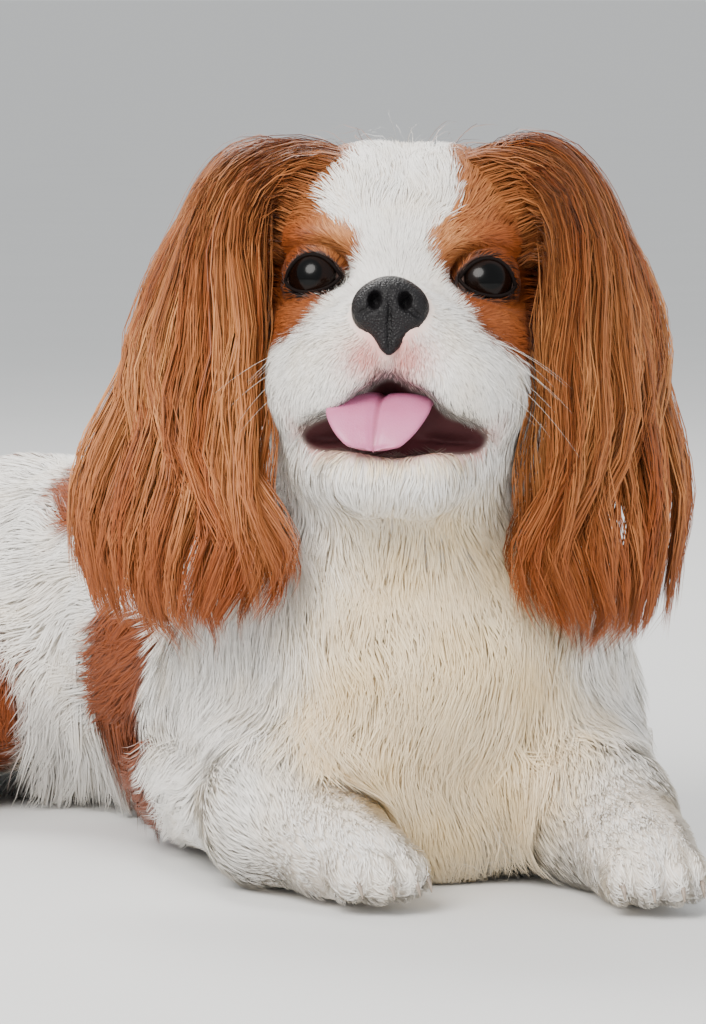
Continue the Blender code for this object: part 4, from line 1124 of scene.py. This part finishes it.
def grown(
    roots, length, lift, stations, seed, way=lie, swirl=0.3, fall=0.0, hanging=None, wave=0.0, waves=1.0
):
    """Paths of hairs that lie along the body (station, hair, xyz), and the way off the body along them.

    lift is how high a hair's tip stands off the coat's outer face. fall is the pull of its own weight.
    A hanging hair leaves the body where its heading does. wave is the width of its waves, waves their count.
    """
    draw = np.random.default_rng(seed)
    value, out = slope(roots)
    heading = way(roots) if callable(way) else np.broadcast_to(way, roots.shape)
    heading = unit(heading - out * (heading * out).sum(axis=1)[:, None])
    angle = swirl * drift(roots, 0.045, seed) + 0.5 * swirl * drift(roots, 0.014, seed + 1)
    heading = turned_about(heading, out, angle + draw.normal(0, 0.15, len(roots)))
    depth = -value
    phase = 2.0 * drift(roots, 0.05, seed + 2) + draw.normal(0, 0.3, len(roots))
    hang = np.zeros(len(roots), bool) if hanging is None else hanging
    spots, point = [(roots, out)], roots
    share = np.linspace(0.0, 1.0, stations)
    for before, s in zip(share, share[1:]):
        heading = heading + DOWN * fall * s
        flat = heading - out * (heading * out).sum(axis=1)[:, None]
        heading = unit(np.where(hang[:, None], heading, flat))
        point = point + heading * (length * (s - before))[:, None]
        value, out = slope(point)
        height = -depth + (depth + lift) * s**0.8
        move = np.where(hang, np.maximum(height - value, 0.0), height - value)
        point = point + out * move[:, None]
        spots.append((point, out))
    paths = np.stack([point for point, _ in spots])
    outs = np.stack([out for _, out in spots])
    if wave:
        side = unit(np.cross(np.gradient(paths, axis=0), outs))
        swing = np.sin(2 * math.pi * waves * share[:, None] + phase) - np.sin(phase)
        paths = paths + side * (wave * swing * share[:, None])[..., None]
    return paths, outs


def tufted(paths, tuft, pull, seed):
    """Hairs drawn together in tufts of about so many hairs, most at their tips."""
    draw = np.random.default_rng(seed)
    count = paths.shape[1]
    guides = np.arange(0, count, tuft)
    tree = KDTree(len(guides))
    for k, guide in enumerate(guides):
        tree.insert(paths[0, guide], k)
    tree.balance()
    nearest = guides[[tree.find(root)[1] for root in paths[0]]]
    own = np.clip(draw.normal(pull, 0.15, count), 0.0, 0.95)
    share = np.linspace(0.0, 1.0, len(paths))[:, None, None] ** 1.2 * own[:, None]
    apart = paths[0] - paths[0][nearest]
    return paths * (1 - share) + (paths[:, nearest] + apart * 0.25) * share


def at_corners(values):
    """Values (station, hair, n) laid out for each hair's corners: two at each station and one at the tip."""
    return np.concatenate((np.repeat(values[:-1], 2, axis=0), values[-1:])).transpose(1, 0, 2)


def strips(name, paths, outs, width, stored, unwrap, seed, taper=0.45, softness=SOFTNESS):
    """One mesh of tapered strips along paths.

    stored has a value for each hair, or for each station of each hair. unwrap places the hairs' patches.
    taper is the share of a hair that narrows to its tip.
    """
    draw = np.random.default_rng(seed)
    stations, count = paths.shape[:2]
    paths = paths.copy()
    paths[..., 2] = np.maximum(paths[..., 2], FLOOR_CLEAR)
    share = np.linspace(0.0, 1.0, stations)
    along = unit(np.gradient(paths, axis=0))
    across = unit(np.cross(along, outs))
    up = np.cross(across, along)
    twist = draw.normal(0, 0.35, count)[:, None]
    across = across * np.cos(twist) + up * np.sin(twist)
    breadth = np.minimum(1.0, 0.6 + 1.6 * share) * np.minimum(1.0, (1.0 - share) / taper) ** 0.8
    half = (breadth[:, None] * width / 2)[..., None] * across
    flat = np.minimum(np.abs(half[..., 2]), 0.0002)
    half[..., 2] = np.where(paths[..., 2] < 0.003, flat, half[..., 2])
    corners = 2 * (stations - 1) + 1
    points = np.empty((count, corners, 3))
    points[:, 0:-1:2] = (paths - half)[:-1].transpose(1, 0, 2)
    points[:, 1:-1:2] = (paths + half)[:-1].transpose(1, 0, 2)
    points[:, -1] = paths[-1]
    pattern = []
    for k in range(stations - 2):
        pattern += [(2 * k, 2 * k + 1, 2 * k + 3), (2 * k, 2 * k + 3, 2 * k + 2)]
    pattern.append((corners - 3, corners - 2, corners - 1))
    faces = (np.arange(count)[:, None, None] * corners + np.array(pattern)).reshape(-1, 3)
    down = np.append(np.repeat(share[:-1], 2), 1.0)
    values = {"along": np.tile(down, count), "tone": np.repeat(draw.random(count), corners)}
    for key, value in stored.items():
        by_station = value if value.ndim == 2 else np.broadcast_to(value, (stations, count))
        values[key] = at_corners(by_station[..., None]).ravel()
    obj = mesh_of(name, points.reshape(-1, 3), faces, values)
    facing = unit(outs * softness + np.cross(across, along) * (1.0 - softness))
    rounding = np.zeros((1, corners, 1))
    rounding[0, 0:-1:2], rounding[0, 1:-1:2] = -0.35, 0.35
    normals = unit(at_corners(facing) + rounding * at_corners(across))
    layer = obj.data.attributes.new("custom_normal", "FLOAT_VECTOR", "POINT")
    layer.data.foreach_set("vector", normals.astype(np.float32).ravel())
    sides = np.append(np.tile((-0.5, 0.5), stations - 1), 0.0)
    patch = np.stack((sides, down - 0.5), axis=-1) * PATCH_SIZE
    places = (unwrap[:, None] + patch).reshape(-1, 2)
    layer = obj.data.uv_layers.new(name="OFBake")
    layer.data.foreach_set("uv", places[faces.ravel()].astype(np.float32).ravel())
    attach(obj, "root")
    return obj


def fitted(places):
    """An unwrap scaled to fit a square, with a rim left free for the patches."""
    low, high = places.min(axis=0), places.max(axis=0)
    return 0.01 + 0.98 * (places - low) / np.maximum(high - low, 1e-6)


def round_unwrap(p, centre, turn=np.eye(3)):
    """Longitude and latitude about a centre, the unwrap of a form near a ball."""
    q = (p - array(centre)) @ turn
    longitude = np.arctan2(q[:, 0], q[:, 1])
    latitude = np.arcsin(np.clip(q[:, 2] / np.maximum(length_of(q), 1e-6), -1, 1))
    return fitted(np.stack((longitude, latitude), axis=-1))


def long_unwrap(p, start, end):
    """Angle round an axis and place along it, the unwrap of a form near a tube."""
    start, axis = array(start), unit((array(end) - array(start))[None])[0]
    side = unit(np.cross(axis, array((0.21, 0.13, 1.0)))[None])[0]
    q = p - start
    angle = np.arctan2(q @ np.cross(axis, side), q @ side)
    return fitted(np.stack((angle, q @ axis), axis=-1))


WHITE_HAIR = (0.92, 0.89, 0.84, 1)
CREAM_HAIR = (0.88, 0.70, 0.42, 1)
GOLD_HAIR = (0.56, 0.235, 0.078, 1)

coat_finish = Finish("coat", Specular_IOR_Level=0.28, Sheen_Weight=0.04, Sheen_Roughness=0.4)
coat_place = coat_finish.place()
tone = coat_finish.stored("tone")
broad = coat_finish.noise(45.0, 2.0, coat_place)
warm = coat_finish.node("ShaderNodeMapRange", None, {"Value": broad, 1: 0.46, 2: 0.75, 3: 0.0, 4: 0.25})
# the cream share also holds painted shadow under the lower lip
pale_share = coat_finish.node("ShaderNodeClamp", None, {"Value": coat_finish.stored("cream") * 0.95 + warm})
pale = coat_finish.mixed(pale_share, WHITE_HAIR, CREAM_HAIR)
red_share = coat_finish.node("ShaderNodeClamp", None, {"Value": tone * 0.5 + broad * 0.6})
red = coat_finish.mixed(red_share, DARK_CHESTNUT, CHESTNUT_HAIR)
# this share holds painted light on the head's upper sides and painted shade at the ears' ends
own_gold_and_painted_light = coat_finish.stored("gold") * (0.45 + tone * 0.75)
gold_and_painted_light_share = coat_finish.node("ShaderNodeClamp", None, {"Value": own_gold_and_painted_light})
red = coat_finish.mixed(gold_and_painted_light_share, red, GOLD_HAIR)
hair_colour = coat_finish.mixed(coat_finish.stored("chestnut"), pale, red)
hair_colour = coat_finish.mixed(coat_finish.stored("pink") * 0.85, hair_colour, PINK_SKIN)
# the dark share also holds painted shadow under the lower lip
hair_colour = coat_finish.mixed(coat_finish.stored("dark"), hair_colour, DARK_SKIN)
# painted shade: each hair is darker towards its root, deep in the coat; its tone also varies it at random
shade = 0.80 + tone * 0.14 + coat_finish.stored("along") * 0.10
root_shade_grey = coat_finish.node("ShaderNodeCombineColor", None, {0: shade, 1: shade, 2: shade})
coat_finish.feed("Base Color", coat_finish.mixed(1.0, hair_colour, root_shade_grey, "MULTIPLY"))
coat_finish.feed("Roughness", 0.46 + tone * 0.16 - coat_finish.stored("chestnut") * 0.08)
coat_finish.bump(coat_finish.noise(2600.0, 2.0, coat_place), 0.15, 0.0002)


def add_coat(name, where, per_area, length, lift, width, stations, seed, tuft, pull, unwrap, **growth):
    """Sow, grow and build one piece of the coat. length, lift and width are worked out for each root."""
    roots = sown(*where, per_area, seed)
    draw = np.random.default_rng(seed + 7)
    own = draw.uniform(0.8, 1.15, len(roots))
    hanging = growth.pop("hanging", None)
    hang = hanging(roots) if hanging else None
    sizes = length(roots) * own, lift(roots) * own
    paths, outs = grown(roots, *sizes, stations, seed, hanging=hang, **growth)
    paths = tufted(paths, tuft, pull, seed)
    marks = markings(paths[stations // 2] + draw.normal(0, 0.0012, roots.shape))
    obj = strips(name, paths, outs, width(roots) * own, marks, unwrap(roots), seed)
    obj.data.materials.append(coat_finish.material)


def hairy(p):
    """Whether hair grows at points: not on the nose, on the lids or inside the mouth."""
    q = to_head(p)
    bare = (almond(to_eye(q)) < 0.0002) & (q[..., 1] > -0.02)
    bare |= nose_field(p) < 0.0012
    bare |= gape_field(q) < 0.0006
    return ~bare


def from_eye(p):
    """Distance from the middle of the nearer eye's front."""
    return length_of(to_eye(to_head(p)) - array((0, EYE_RADIUS, 0)))


def on_face(p):
    """Whether points are on the muzzle or round the eyes, and not on the skull, the cheeks or the throat."""
    return np.minimum(from_nose(p) - 0.052, from_eye(p) - 0.020) < 0.0


def beside_ear(p):
    """1 on the cheek under the ear's front edge, where longer hair stands out to meet it, 0 away from it."""
    m = mirrored(to_head(p))
    return ramp(ellipsoid(m, (0.048, -0.024, -0.018), (0.020, 0.018, 0.030)), 0.006, -0.004)


def constant(value):
    """A function of places that gives every one of them the same value."""
    return lambda p: np.full(len(p), value)


HEAD_SKIN = (head_points, head_quads)
HEAD_CENTRE = from_head((0, -0.020, -0.020))
add_coat(
    "face_coat", HEAD_SKIN, lambda p: 3.3e6 * (on_face(p) & hairy(p)),
    length=lambda p: 0.0026 + 0.0060 * ramp(np.minimum(from_nose(p), from_eye(p) + 0.018), 0.014, 0.055),
    lift=lambda p: 0.0002 + 0.0006 * ramp(np.minimum(from_nose(p), from_eye(p) + 0.02), 0.02, 0.055),
    width=lambda p: 0.00031 + 0.00008 * ramp(from_nose(p), 0.02, 0.05),
    stations=3, seed=11, tuft=9, pull=0.35, swirl=0.25,
    unwrap=lambda p: round_unwrap(p, HEAD_CENTRE, HEAD_AXES),
)
add_coat(
    "skull_coat", HEAD_SKIN, lambda p: 7.4e5 * (~on_face(p) & hairy(p) & (behind_head(p) < 0.006)),
    length=lambda p: 0.0085 + 0.0075 * ramp(from_nose(p), 0.050, 0.120) + 0.0050 * beside_ear(p),
    lift=lambda p: 0.0008 + 0.0018 * ramp(from_nose(p), 0.050, 0.110) + 0.0060 * beside_ear(p),
    width=constant(0.00047),
    stations=4, seed=12, tuft=14, pull=0.35, swirl=0.35, fall=0.10,
    unwrap=lambda p: round_unwrap(p, HEAD_CENTRE, HEAD_AXES),
)

# Ear hair: long, silky and waved, dark at the top and golden further down. Painted shade darkens it again
# at the ends. It grows from the leathers in locks that lie over each other, the lowest first. Hair from the
# temples sweeps out over each ear's upper edge.
EAR_LOCKS = 104
EAR_HAIRS = 44  # in a lock
EAR_STATIONS = 14
EAR_HAIR_WIDTH = 0.00048
EAR_CLEARANCE = 0.0046  # how far the ears' hair stays off the coat's outer face
EAR_WAVES = 2.2  # down the whole ear
EAR_CURLS = 3.6  # smaller waves down the whole ear
GOLDEN_RATIO = 0.618034  # spreads the locks evenly across the ear


def ear_hair_colours(t, share):
    """Golden down the ear; painted shade darkens its end. share is how golden each hair's own lock is."""
    # the last factor is painted shade: less of the paler tan, so darker hair, towards the ear's lower end
    golden = (0.36 + 0.62 * ramp(t, 0.12, 0.62)) * (1.0 - 0.80 * ramp(t, 0.60, 0.96))
    return {"chestnut": np.ones(t.shape), "gold": golden * share}


def waved(t, phase, own):
    """How far ear hairs swing at t down the ear, as a share of its half width and outward in metres."""
    low = ramp(t, 0.20, 0.66)
    long = 2 * math.pi * EAR_WAVES * t + phase
    short = 2 * math.pi * EAR_CURLS * t + 2.3 * phase + 0.5 * own
    aside = low * (0.105 * np.sin(long) + 0.060 * np.sin(short))
    rise = low * (0.0028 * np.sin(long + 1.4) + 0.0024 * np.sin(short + 1.1))
    return aside, rise


def clear_of_body(place, face, distance):
    """Places moved out along face until they are so far off the flesh."""
    return place + face * np.maximum(distance - flesh_field(place), 0.0)[:, None]


def ear_coat(name, seed):
    """The long hair of one ear, lock by lock. t runs down the ear and u across it, as in ear_place."""
    draw = np.random.default_rng(seed)
    rank = (np.arange(EAR_LOCKS) + 0.5) / EAR_LOCKS
    root = -0.02 + 0.54 * (1 - rank) ** 0.9 + draw.uniform(-0.02, 0.02, EAR_LOCKS)
    aside = -1.03 + 2.06 * ((np.arange(EAR_LOCKS) * GOLDEN_RATIO) % 1.0)
    full = draw.random(EAR_LOCKS) < 0.68
    tip = np.where(full, 1.045, root + draw.uniform(0.38, 0.55, EAR_LOCKS))
    tip = np.minimum(tip, 1.045) - 0.085 * aside**2 - draw.uniform(0, 0.07, EAR_LOCKS)
    inner = draw.random(EAR_LOCKS) < 0.2
    outer_height = 0.0010 + 0.0110 * np.clip((0.50 - root) / 0.50, 0, 1)
    height = np.where(inner, -0.0045, outer_height) + draw.uniform(-0.001, 0.002, EAR_LOCKS)
    half = draw.uniform(0.10, 0.17, EAR_LOCKS)
    hook = draw.normal(0, 0.06, EAR_LOCKS)
    phase = draw.normal(0, 0.42, EAR_LOCKS) + 1.7 * aside
    of = np.repeat(np.arange(EAR_LOCKS), EAR_HAIRS)
    count = len(of)
    spread = draw.uniform(-1, 1, count)
    deep = draw.normal(0, 0.0012, count)
    start = np.maximum(root[of] + draw.normal(0, 0.014, count), 0.0)
    end = tip[of] + draw.normal(0, 0.014, count) - 0.035 * spread**2
    own = draw.normal(0, 0.5, count)
    places, faces, downs = [], [], []
    for s in np.linspace(0.0, 1.0, EAR_STATIONS):
        t = start * (1 - s) + end * s
        gather = 1.0 - 0.60 * s**1.6
        wave, rise = waved(t, phase[of] + 0.25 * own, own)
        u = aside[of] * (1.0 + 0.05 * math.sin(math.pi * s)) + half[of] * spread * gather
        u = u + wave + hook[of] * s**3
        lift = (height[of] + 0.0022 * (1 - spread**2)) * min(1.0, 0.05 + 2.4 * s) + deep * gather + rise
        place, face = ear_place(name, t, u, lift)
        places.append(clear_of_body(place, face, EAR_CLEARANCE * s * min(1.0, 4 * s)) if s else place)
        faces.append(face)
        downs.append(t)
    paths, outs = np.stack(places), np.stack(faces)
    unwrap = fitted(np.stack((aside[of] + half[of] * spread, start), axis=-1))
    width = EAR_HAIR_WIDTH * draw.uniform(0.75, 1.2, count)
    golden = draw.uniform(0.15, 1.05, EAR_LOCKS)[of]
    colours = ear_hair_colours(np.stack(downs), golden)
    obj = strips("ear_coat_" + name, paths, outs, width, colours, unwrap, seed, taper=0.20, softness=0.40)
    obj.data.materials.append(coat_finish.material)


TEMPLE_HAIRS = 4800
TEMPLE_STATIONS = 8
TEMPLE_HAIR_WIDTH = 0.00050


def temple_coat(name, side, seed):
    """Hair from the side of the skull that sweeps out and down over the ear's upper edge."""
    draw = np.random.default_rng(seed)
    ahead = draw.uniform(-0.078, -0.003, TEMPLE_HAIRS)
    high = draw.uniform(0.0, 1.0, TEMPLE_HAIRS)
    q = np.stack((side * (0.052 - 0.032 * high), ahead, 0.004 + 0.050 * high), axis=-1)
    root = from_head(q)
    for _ in range(3):
        value, out = slope(root)
        root = root - out * (value + 0.003)[:, None]
    u = -1.12 + 1.65 * (0.002 - ahead) / 0.080 + draw.normal(0, 0.10, TEMPLE_HAIRS)
    first = 0.14 + 0.18 * (1 - high) + draw.normal(0, 0.02, TEMPLE_HAIRS)
    last = first + draw.uniform(0.10, 0.34, TEMPLE_HAIRS)
    behind = np.clip((0.002 - ahead) / 0.030, 0.0, 1.0)
    top = 0.0045 + 0.0070 * behind + 0.0050 * high + draw.normal(0, 0.0014, TEMPLE_HAIRS)
    over, _ = ear_place(name, first, u, top)
    phase = 1.5 * u + draw.normal(0, 0.5, TEMPLE_HAIRS)
    leave = root + out * 0.007 + array((side, 0, 0)) * (0.008 + 0.012 * high)[:, None] + 0.005 * UP
    places, faces, downs = [], [], []
    for s in np.linspace(0.0, 1.0, TEMPLE_STATIONS):
        t = first + (last - first) * s
        wave, rise = waved(t, phase, 0.0)
        along_ear, face = ear_place(name, t, u + wave, top + rise * 0.5 - 0.003 * s)
        arch = root * (1 - s) ** 2 + leave * 2 * s * (1 - s) + over * s * s
        share = ramp(np.full(TEMPLE_HAIRS, s), 0.15, 0.85)[:, None]
        place = arch * (1 - share) + along_ear * share
        facing = unit(out * (1 - share) + face * share)
        places.append(clear_of_body(place, facing, 0.0012) if s else place)
        faces.append(facing)
        downs.append(np.full(TEMPLE_HAIRS, 0.05 + 0.35 * s))
    paths = tufted(np.stack(places), 10, 0.28, seed)
    width = TEMPLE_HAIR_WIDTH * draw.uniform(0.7, 1.2, TEMPLE_HAIRS)
    unwrap = fitted(np.stack((ahead, high), axis=-1))
    colours = ear_hair_colours(np.stack(downs), 1.0)
    obj = strips("temple_coat_" + name, paths, np.stack(faces), width, colours, unwrap, seed)
    obj.data.materials.append(coat_finish.material)


for number, (name, side) in enumerate(SIDES.items()):
    ear_coat(name, 40 + number)
    temple_coat(name, side, 50 + number)

# Body coat: hair of middle length on the neck, chest and trunk, shorter down the legs and shortest on the
# feet. It grows from each part's skin and lies backward and down. None grows where skin lies on the ground.
BODY_SKIN = (body_points, body_quads)
BODY_FORMS = {
    "neck": neck_field,
    "trunk": trunk_field,
    "foreleg_left": lambda p: foreleg_field(p, "left"),
    "foreleg_right": lambda p: foreleg_field(p, "right"),
    "hindleg_left": lambda p: hindleg_field(p, "left"),
    "hindleg_right": lambda p: hindleg_field(p, "right"),
    "tail": tail_field,
}


def grows_on(p, *names):
    """Whether points belong to one of these parts of the body, and not to skin that lies on the ground."""
    forms = np.stack([form(p) for form in BODY_FORMS.values()])
    own = [list(BODY_FORMS).index(name) for name in names]
    return np.isin(forms.argmin(axis=0), own) & (p[:, 2] > 0.004)


add_coat(
    "neck_coat", BODY_SKIN, lambda p: 5.2e5 * grows_on(p, "neck"),
    length=constant(0.032), lift=constant(0.0034), width=constant(0.00052),
    stations=5, seed=21, tuft=20, pull=0.26, swirl=0.45, fall=0.25, wave=0.0026, waves=0.8,
    unwrap=lambda p: long_unwrap(p, (0.0, -0.040, 0.200), (0.004, 0.0, 0.110)),
)
add_coat(
    "chest_coat", BODY_SKIN, lambda p: 5.2e5 * (grows_on(p, "trunk") & (p[:, 1] < 0.015)),
    length=lambda p: 0.024 + 0.018 * ramp(p[:, 1], 0.010, -0.050) - 0.008 * ramp(p[:, 2], 0.050, 0.020),
    lift=constant(0.0040), width=constant(0.00054),
    stations=5, seed=22, tuft=22, pull=0.28, swirl=0.60, fall=0.25, wave=0.0034, waves=0.9,
    unwrap=lambda p: round_unwrap(p, (0.004, 0.000, 0.080)),
)
for number, (name, side) in enumerate(SIDES.items()):
    add_coat(
        "trunk_coat_" + name, BODY_SKIN,
        lambda p: 3.2e5 * (
            grows_on(p, "trunk") & (p[:, 1] > 0.011) & (side * ((p - HIP_PLACE) @ HIP_LEFT - 0.002) > 0)
        ),
        length=constant(0.025), lift=constant(0.0022), width=constant(0.00066),
        stations=4, seed=23 + number, tuft=20, pull=0.26, swirl=0.40, wave=0.0012, waves=0.7,
        unwrap=lambda p: long_unwrap(p, (0.010, 0.0, 0.090), (-0.188, 0.285, 0.075)),
    )
for number, (name, side) in enumerate(SIDES.items()):
    place = array(PAWS[name][0])
    joints = FORELEGS[name]
    add_coat(
        "foreleg_coat_" + name, BODY_SKIN, lambda p: 6.2e5 * grows_on(p, "foreleg_" + name),
        length=lambda p: 0.0070 + 0.0110 * ramp(length_of(p - place), 0.030, 0.080),
        lift=lambda p: 0.0004 + 0.0012 * ramp(length_of(p - place), 0.030, 0.090),
        width=constant(0.00050),
        stations=4, seed=25 + number, tuft=14, pull=0.22, swirl=0.10,
        unwrap=lambda p: long_unwrap(p, joints[1][0], joints[3][0]),
    )
    hind_place = hind_paw(side)[0]
    add_coat(
        "hindleg_coat_" + name, BODY_SKIN, lambda p: 3.9e5 * grows_on(p, "hindleg_" + name),
        length=lambda p: 0.0070 + 0.0120 * ramp(length_of(p - hind_place), 0.030, 0.090),
        lift=lambda p: 0.0006 + 0.0020 * ramp(length_of(p - hind_place), 0.030, 0.090),
        width=constant(0.00056),
        stations=4, seed=27 + number, tuft=14, pull=0.26, swirl=0.15,
        unwrap=lambda p: round_unwrap(p, hind_point(side, 0.02, 0.075, 0.040)),
    )

# Feathers: long silky hair on the backs of the forelegs and thighs, along the belly's edges and on the tail.
# It grows from the same skin as the body's coat and leaves the body to hang by its own weight.
FEATHER_WIDTH = 0.00062


def feather(name, keep, way, length, seed, **growth):
    """One tract of long hair that leaves the body along its own way."""
    add_coat(
        name, BODY_SKIN, keep, length=constant(length), lift=constant(0.004), width=constant(FEATHER_WIDTH),
        stations=6, seed=seed, tuft=22, pull=0.75, swirl=0.20, way=way,
        hanging=lambda p: np.ones(len(p), bool), **growth,
    )


for number, (name, side) in enumerate(SIDES.items()):
    elbow, wrist = array(FORELEGS[name][1][0]), array(FORELEGS[name][2][0])
    along = unit((wrist - elbow)[None])[0]
    aside = unit(np.cross(along, UP)[None])[0]
    aside = aside * (1.0 if aside[0] * side > 0 else -1.0)

    def behind_foreleg(p):
        q = p - elbow
        run = q @ along
        on = grows_on(p, "foreleg_" + name) & (run > -0.01) & (run < 0.085) & (q @ aside > 0.012)
        return 5.0e5 * (on & (p[:, 2] > 0.008) & (p[:, 2] < 0.050))

    feather(
        "foreleg_feather_" + name, behind_foreleg,
        unit((-0.80 * along + 0.42 * aside + 0.45 * DOWN)[None])[0],
        0.034, 31 + number, fall=0.10, wave=0.0030,
        unwrap=lambda p: long_unwrap(p, elbow, wrist),
    )

    def behind_thigh(p):
        q = p - hind_point(side, -0.045, 0.070, 0.055)
        on = grows_on(p, "hindleg_" + name) & (q @ HIP_FORWARD < 0.020)
        return 4.5e5 * (on & (p[:, 2] > 0.020) & (p[:, 2] < 0.100))

    feather(
        "thigh_feather_" + name, behind_thigh,
        unit((-0.45 * HIP_FORWARD + side * 0.10 * HIP_LEFT + 0.9 * DOWN)[None])[0],
        0.038, 33 + number, fall=0.05, wave=0.0030,
        unwrap=lambda p: round_unwrap(p, hind_point(side, 0.0, 0.050, 0.050)),
    )

    def along_belly(p):
        q = p - HIP_PLACE
        run = -(q @ HIP_FORWARD)
        on = grows_on(p, "trunk") & (run < -0.050) & (run > -0.240) & (side * (q @ HIP_LEFT) > 0.030)
        return 4.5e5 * (on & (p[:, 2] > 0.022) & (p[:, 2] < 0.062))

    feather(
        "flank_feather_" + name, along_belly,
        unit((DOWN - 0.30 * HIP_FORWARD + side * 0.12 * HIP_LEFT)[None])[0],
        0.058, 35 + number, fall=0.10, wave=0.0030,
        unwrap=lambda p: long_unwrap(p, (0.010, 0.0, 0.060), (-0.160, 0.250, 0.060)),
    )

TAIL_JOINTS = array([place for place, _ in TAIL])


def tail_way(p):
    """Towards the tail's tip and out to the nearer side."""
    fine = spline(TAIL_JOINTS, np.linspace(0, 1, 60))
    nearest = np.argmin(length_of(p[:, None] - fine), axis=1)
    along = unit(np.gradient(fine, axis=0))[nearest]
    outward = unit(p - fine[nearest])
    outward[:, 2] *= 0.35
    return unit(0.86 * along + 0.55 * outward + 0.12 * DOWN)


add_coat(
    "tail_coat", BODY_SKIN, lambda p: 5.2e5 * grows_on(p, "tail"),
    length=lambda p: 0.030 + 0.036 * ramp(p[:, 1], 0.300, 0.360),
    lift=constant(0.004), width=constant(0.00064),
    stations=7, seed=37, tuft=26, pull=0.75, swirl=0.25, fall=0.03, wave=0.0040, waves=1.1, way=tail_way,
    hanging=lambda p: p[:, 1] > 0.310, unwrap=lambda p: long_unwrap(p, TAIL_JOINTS[0], TAIL_JOINTS[3]),
)

# Flyaways: single long hairs that stand loose over the crown and lean out to both sides. Each is a strip
# like the coat's own hairs, but thinner, and is rooted in the skin between them.
FLYAWAYS = 900
FLYAWAY_STATIONS = 9
FLYAWAY_WIDTH = 0.00022
draw = np.random.default_rng(61)
side = np.where(draw.random(FLYAWAYS) < 0.5, 1.0, -1.0)
out_from_middle = side * draw.uniform(0.0, 0.046, FLYAWAYS)
ahead = draw.uniform(-0.080, -0.012, FLYAWAYS)
root = from_head(np.stack((out_from_middle, ahead, np.full(FLYAWAYS, 0.036)), axis=-1))
for _ in range(4):
    value, out = slope(root)
    root = root - out * (value + 0.002)[:, None]
outward = np.stack((side, np.zeros(FLYAWAYS), np.zeros(FLYAWAYS)), axis=-1)
lean = 0.9 * outward * draw.uniform(0.2, 1.4, (FLYAWAYS, 1))
way = unit(0.75 * out + lean + draw.normal(0, 0.25, (FLYAWAYS, 3)))
reach = (0.010 + 0.028 * draw.random(FLYAWAYS) ** 2)[:, None]
places = []
for s in np.linspace(0.0, 1.0, FLYAWAY_STATIONS):
    bent = root + way * reach * s + DOWN * reach * 0.55 * s**2
    places.append(bent + np.sin(5 * s + 9 * draw.random((FLYAWAYS, 1))) * 0.0008 * s)
paths = np.stack(places)
flyaways = strips(
    "flyaways", paths, np.broadcast_to(out, paths.shape), np.full(FLYAWAYS, FLYAWAY_WIDTH),
    {"chestnut": chestnut(paths[5]), "gold": np.full(FLYAWAYS, 0.4)},
    round_unwrap(root, HEAD_CENTRE, HEAD_AXES), 62,
)
flyaways.data.materials.append(coat_finish.material)

# Claws: short curved horn that grows from each toe's last bone and bends down towards the ground. The hair
# between the toes hides half of it.
CLAW_STATIONS = 9
CLAW_RADIUS = 0.0014
CLAW_CLEAR = 0.0008
claw_paths, claw_radii = [], []
for place, heading in ALL_PAWS:
    c, s = math.cos(heading), math.sin(heading)
    for out, reach in TOES:
        bend = np.linspace(0.0, 1.0, CLAW_STATIONS)
        ahead = reach + 0.0085 + 0.0050 * bend
        rise = 0.0002 + 0.0010 * np.sin(math.pi * bend) - 0.0045 * bend**2
        x = place[0] + out * 1.12 * c + ahead * s
        y = place[1] + out * 1.12 * s - ahead * c
        claw_paths.append(np.stack((x, y, place[2] - 0.004 + rise), axis=-1))
        claw_radii.append(CLAW_RADIUS * np.sqrt(np.clip(1.02 - bend, 0, 1)))
claw_points, claw_faces = tubes(array(claw_paths), array(claw_radii), 10)
claw_points[:, 2] = np.maximum(claw_points[:, 2], CLAW_CLEAR)
claws = mesh_of("claws", claw_points, claw_faces)
claw_finish = Finish("claw_horn", Roughness=0.35)
claw_finish.bump(claw_finish.speckled(500.0, (0.12, 0.09, 0.07, 1), (0.42, 0.34, 0.27, 1)), 0.2, 0.0002)
claws.data.materials.append(claw_finish.material)
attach(claws, "root")

# Whiskers: stiff pale bristles in three rows on each upper lip. They are rooted in the skin between the
# coat's hairs, stand out to the side and bend down towards their thin tips.
WHISKER_ROWS = 3
WHISKERS_IN_ROW = 4
WHISKER_STATIONS = 8
WHISKER_LENGTH = 0.034
WHISKER_RADIUS = 0.00008
draw = np.random.default_rng(91)
whisker_paths = []
for side in SIDES.values():
    for row in range(WHISKER_ROWS):
        for k in range(WHISKERS_IN_ROW):
            q = array((0.020 + 0.0045 * k, 0.038 - 0.007 * k, -0.034 - 0.005 * row))
            way = array((1.0, 0.30 - 0.30 * k, -0.15 - 0.22 * row))
            way = unit(way[None] + draw.normal(0, 0.12, (1, 3)))[0]
            reach = WHISKER_LENGTH * draw.uniform(0.65, 1.1)
            root = from_head(q * array((side, 1, 1)))
            value, out = slope(root[None])
            root = root - out[0] * (value[0] + 0.001)
            bend = np.linspace(0.0, 1.0, WHISKER_STATIONS)[:, None]
            aim = from_head(way * array((side, 1, 1))) - from_head((0, 0, 0))
            whisker_paths.append(root + aim * reach * bend + DOWN * 0.35 * reach * bend**2)
whisker_paths = array(whisker_paths)
taper = WHISKER_RADIUS * np.linspace(1.0, 0.15, WHISKER_STATIONS)
whisker_points, whisker_faces = tubes(whisker_paths, np.tile(taper, (len(whisker_paths), 1)), 5)
whiskers = mesh_of("whiskers", whisker_points, whisker_faces)
whisker_finish = Finish("whisker", Roughness=0.35)
whisker_tone = whisker_finish.speckled(300.0, (0.66, 0.62, 0.56, 1), (0.85, 0.83, 0.78, 1))
whisker_finish.bump(whisker_tone, 0.1, 0.0001)
whiskers.data.materials.append(whisker_finish.material)
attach(whiskers, "root")
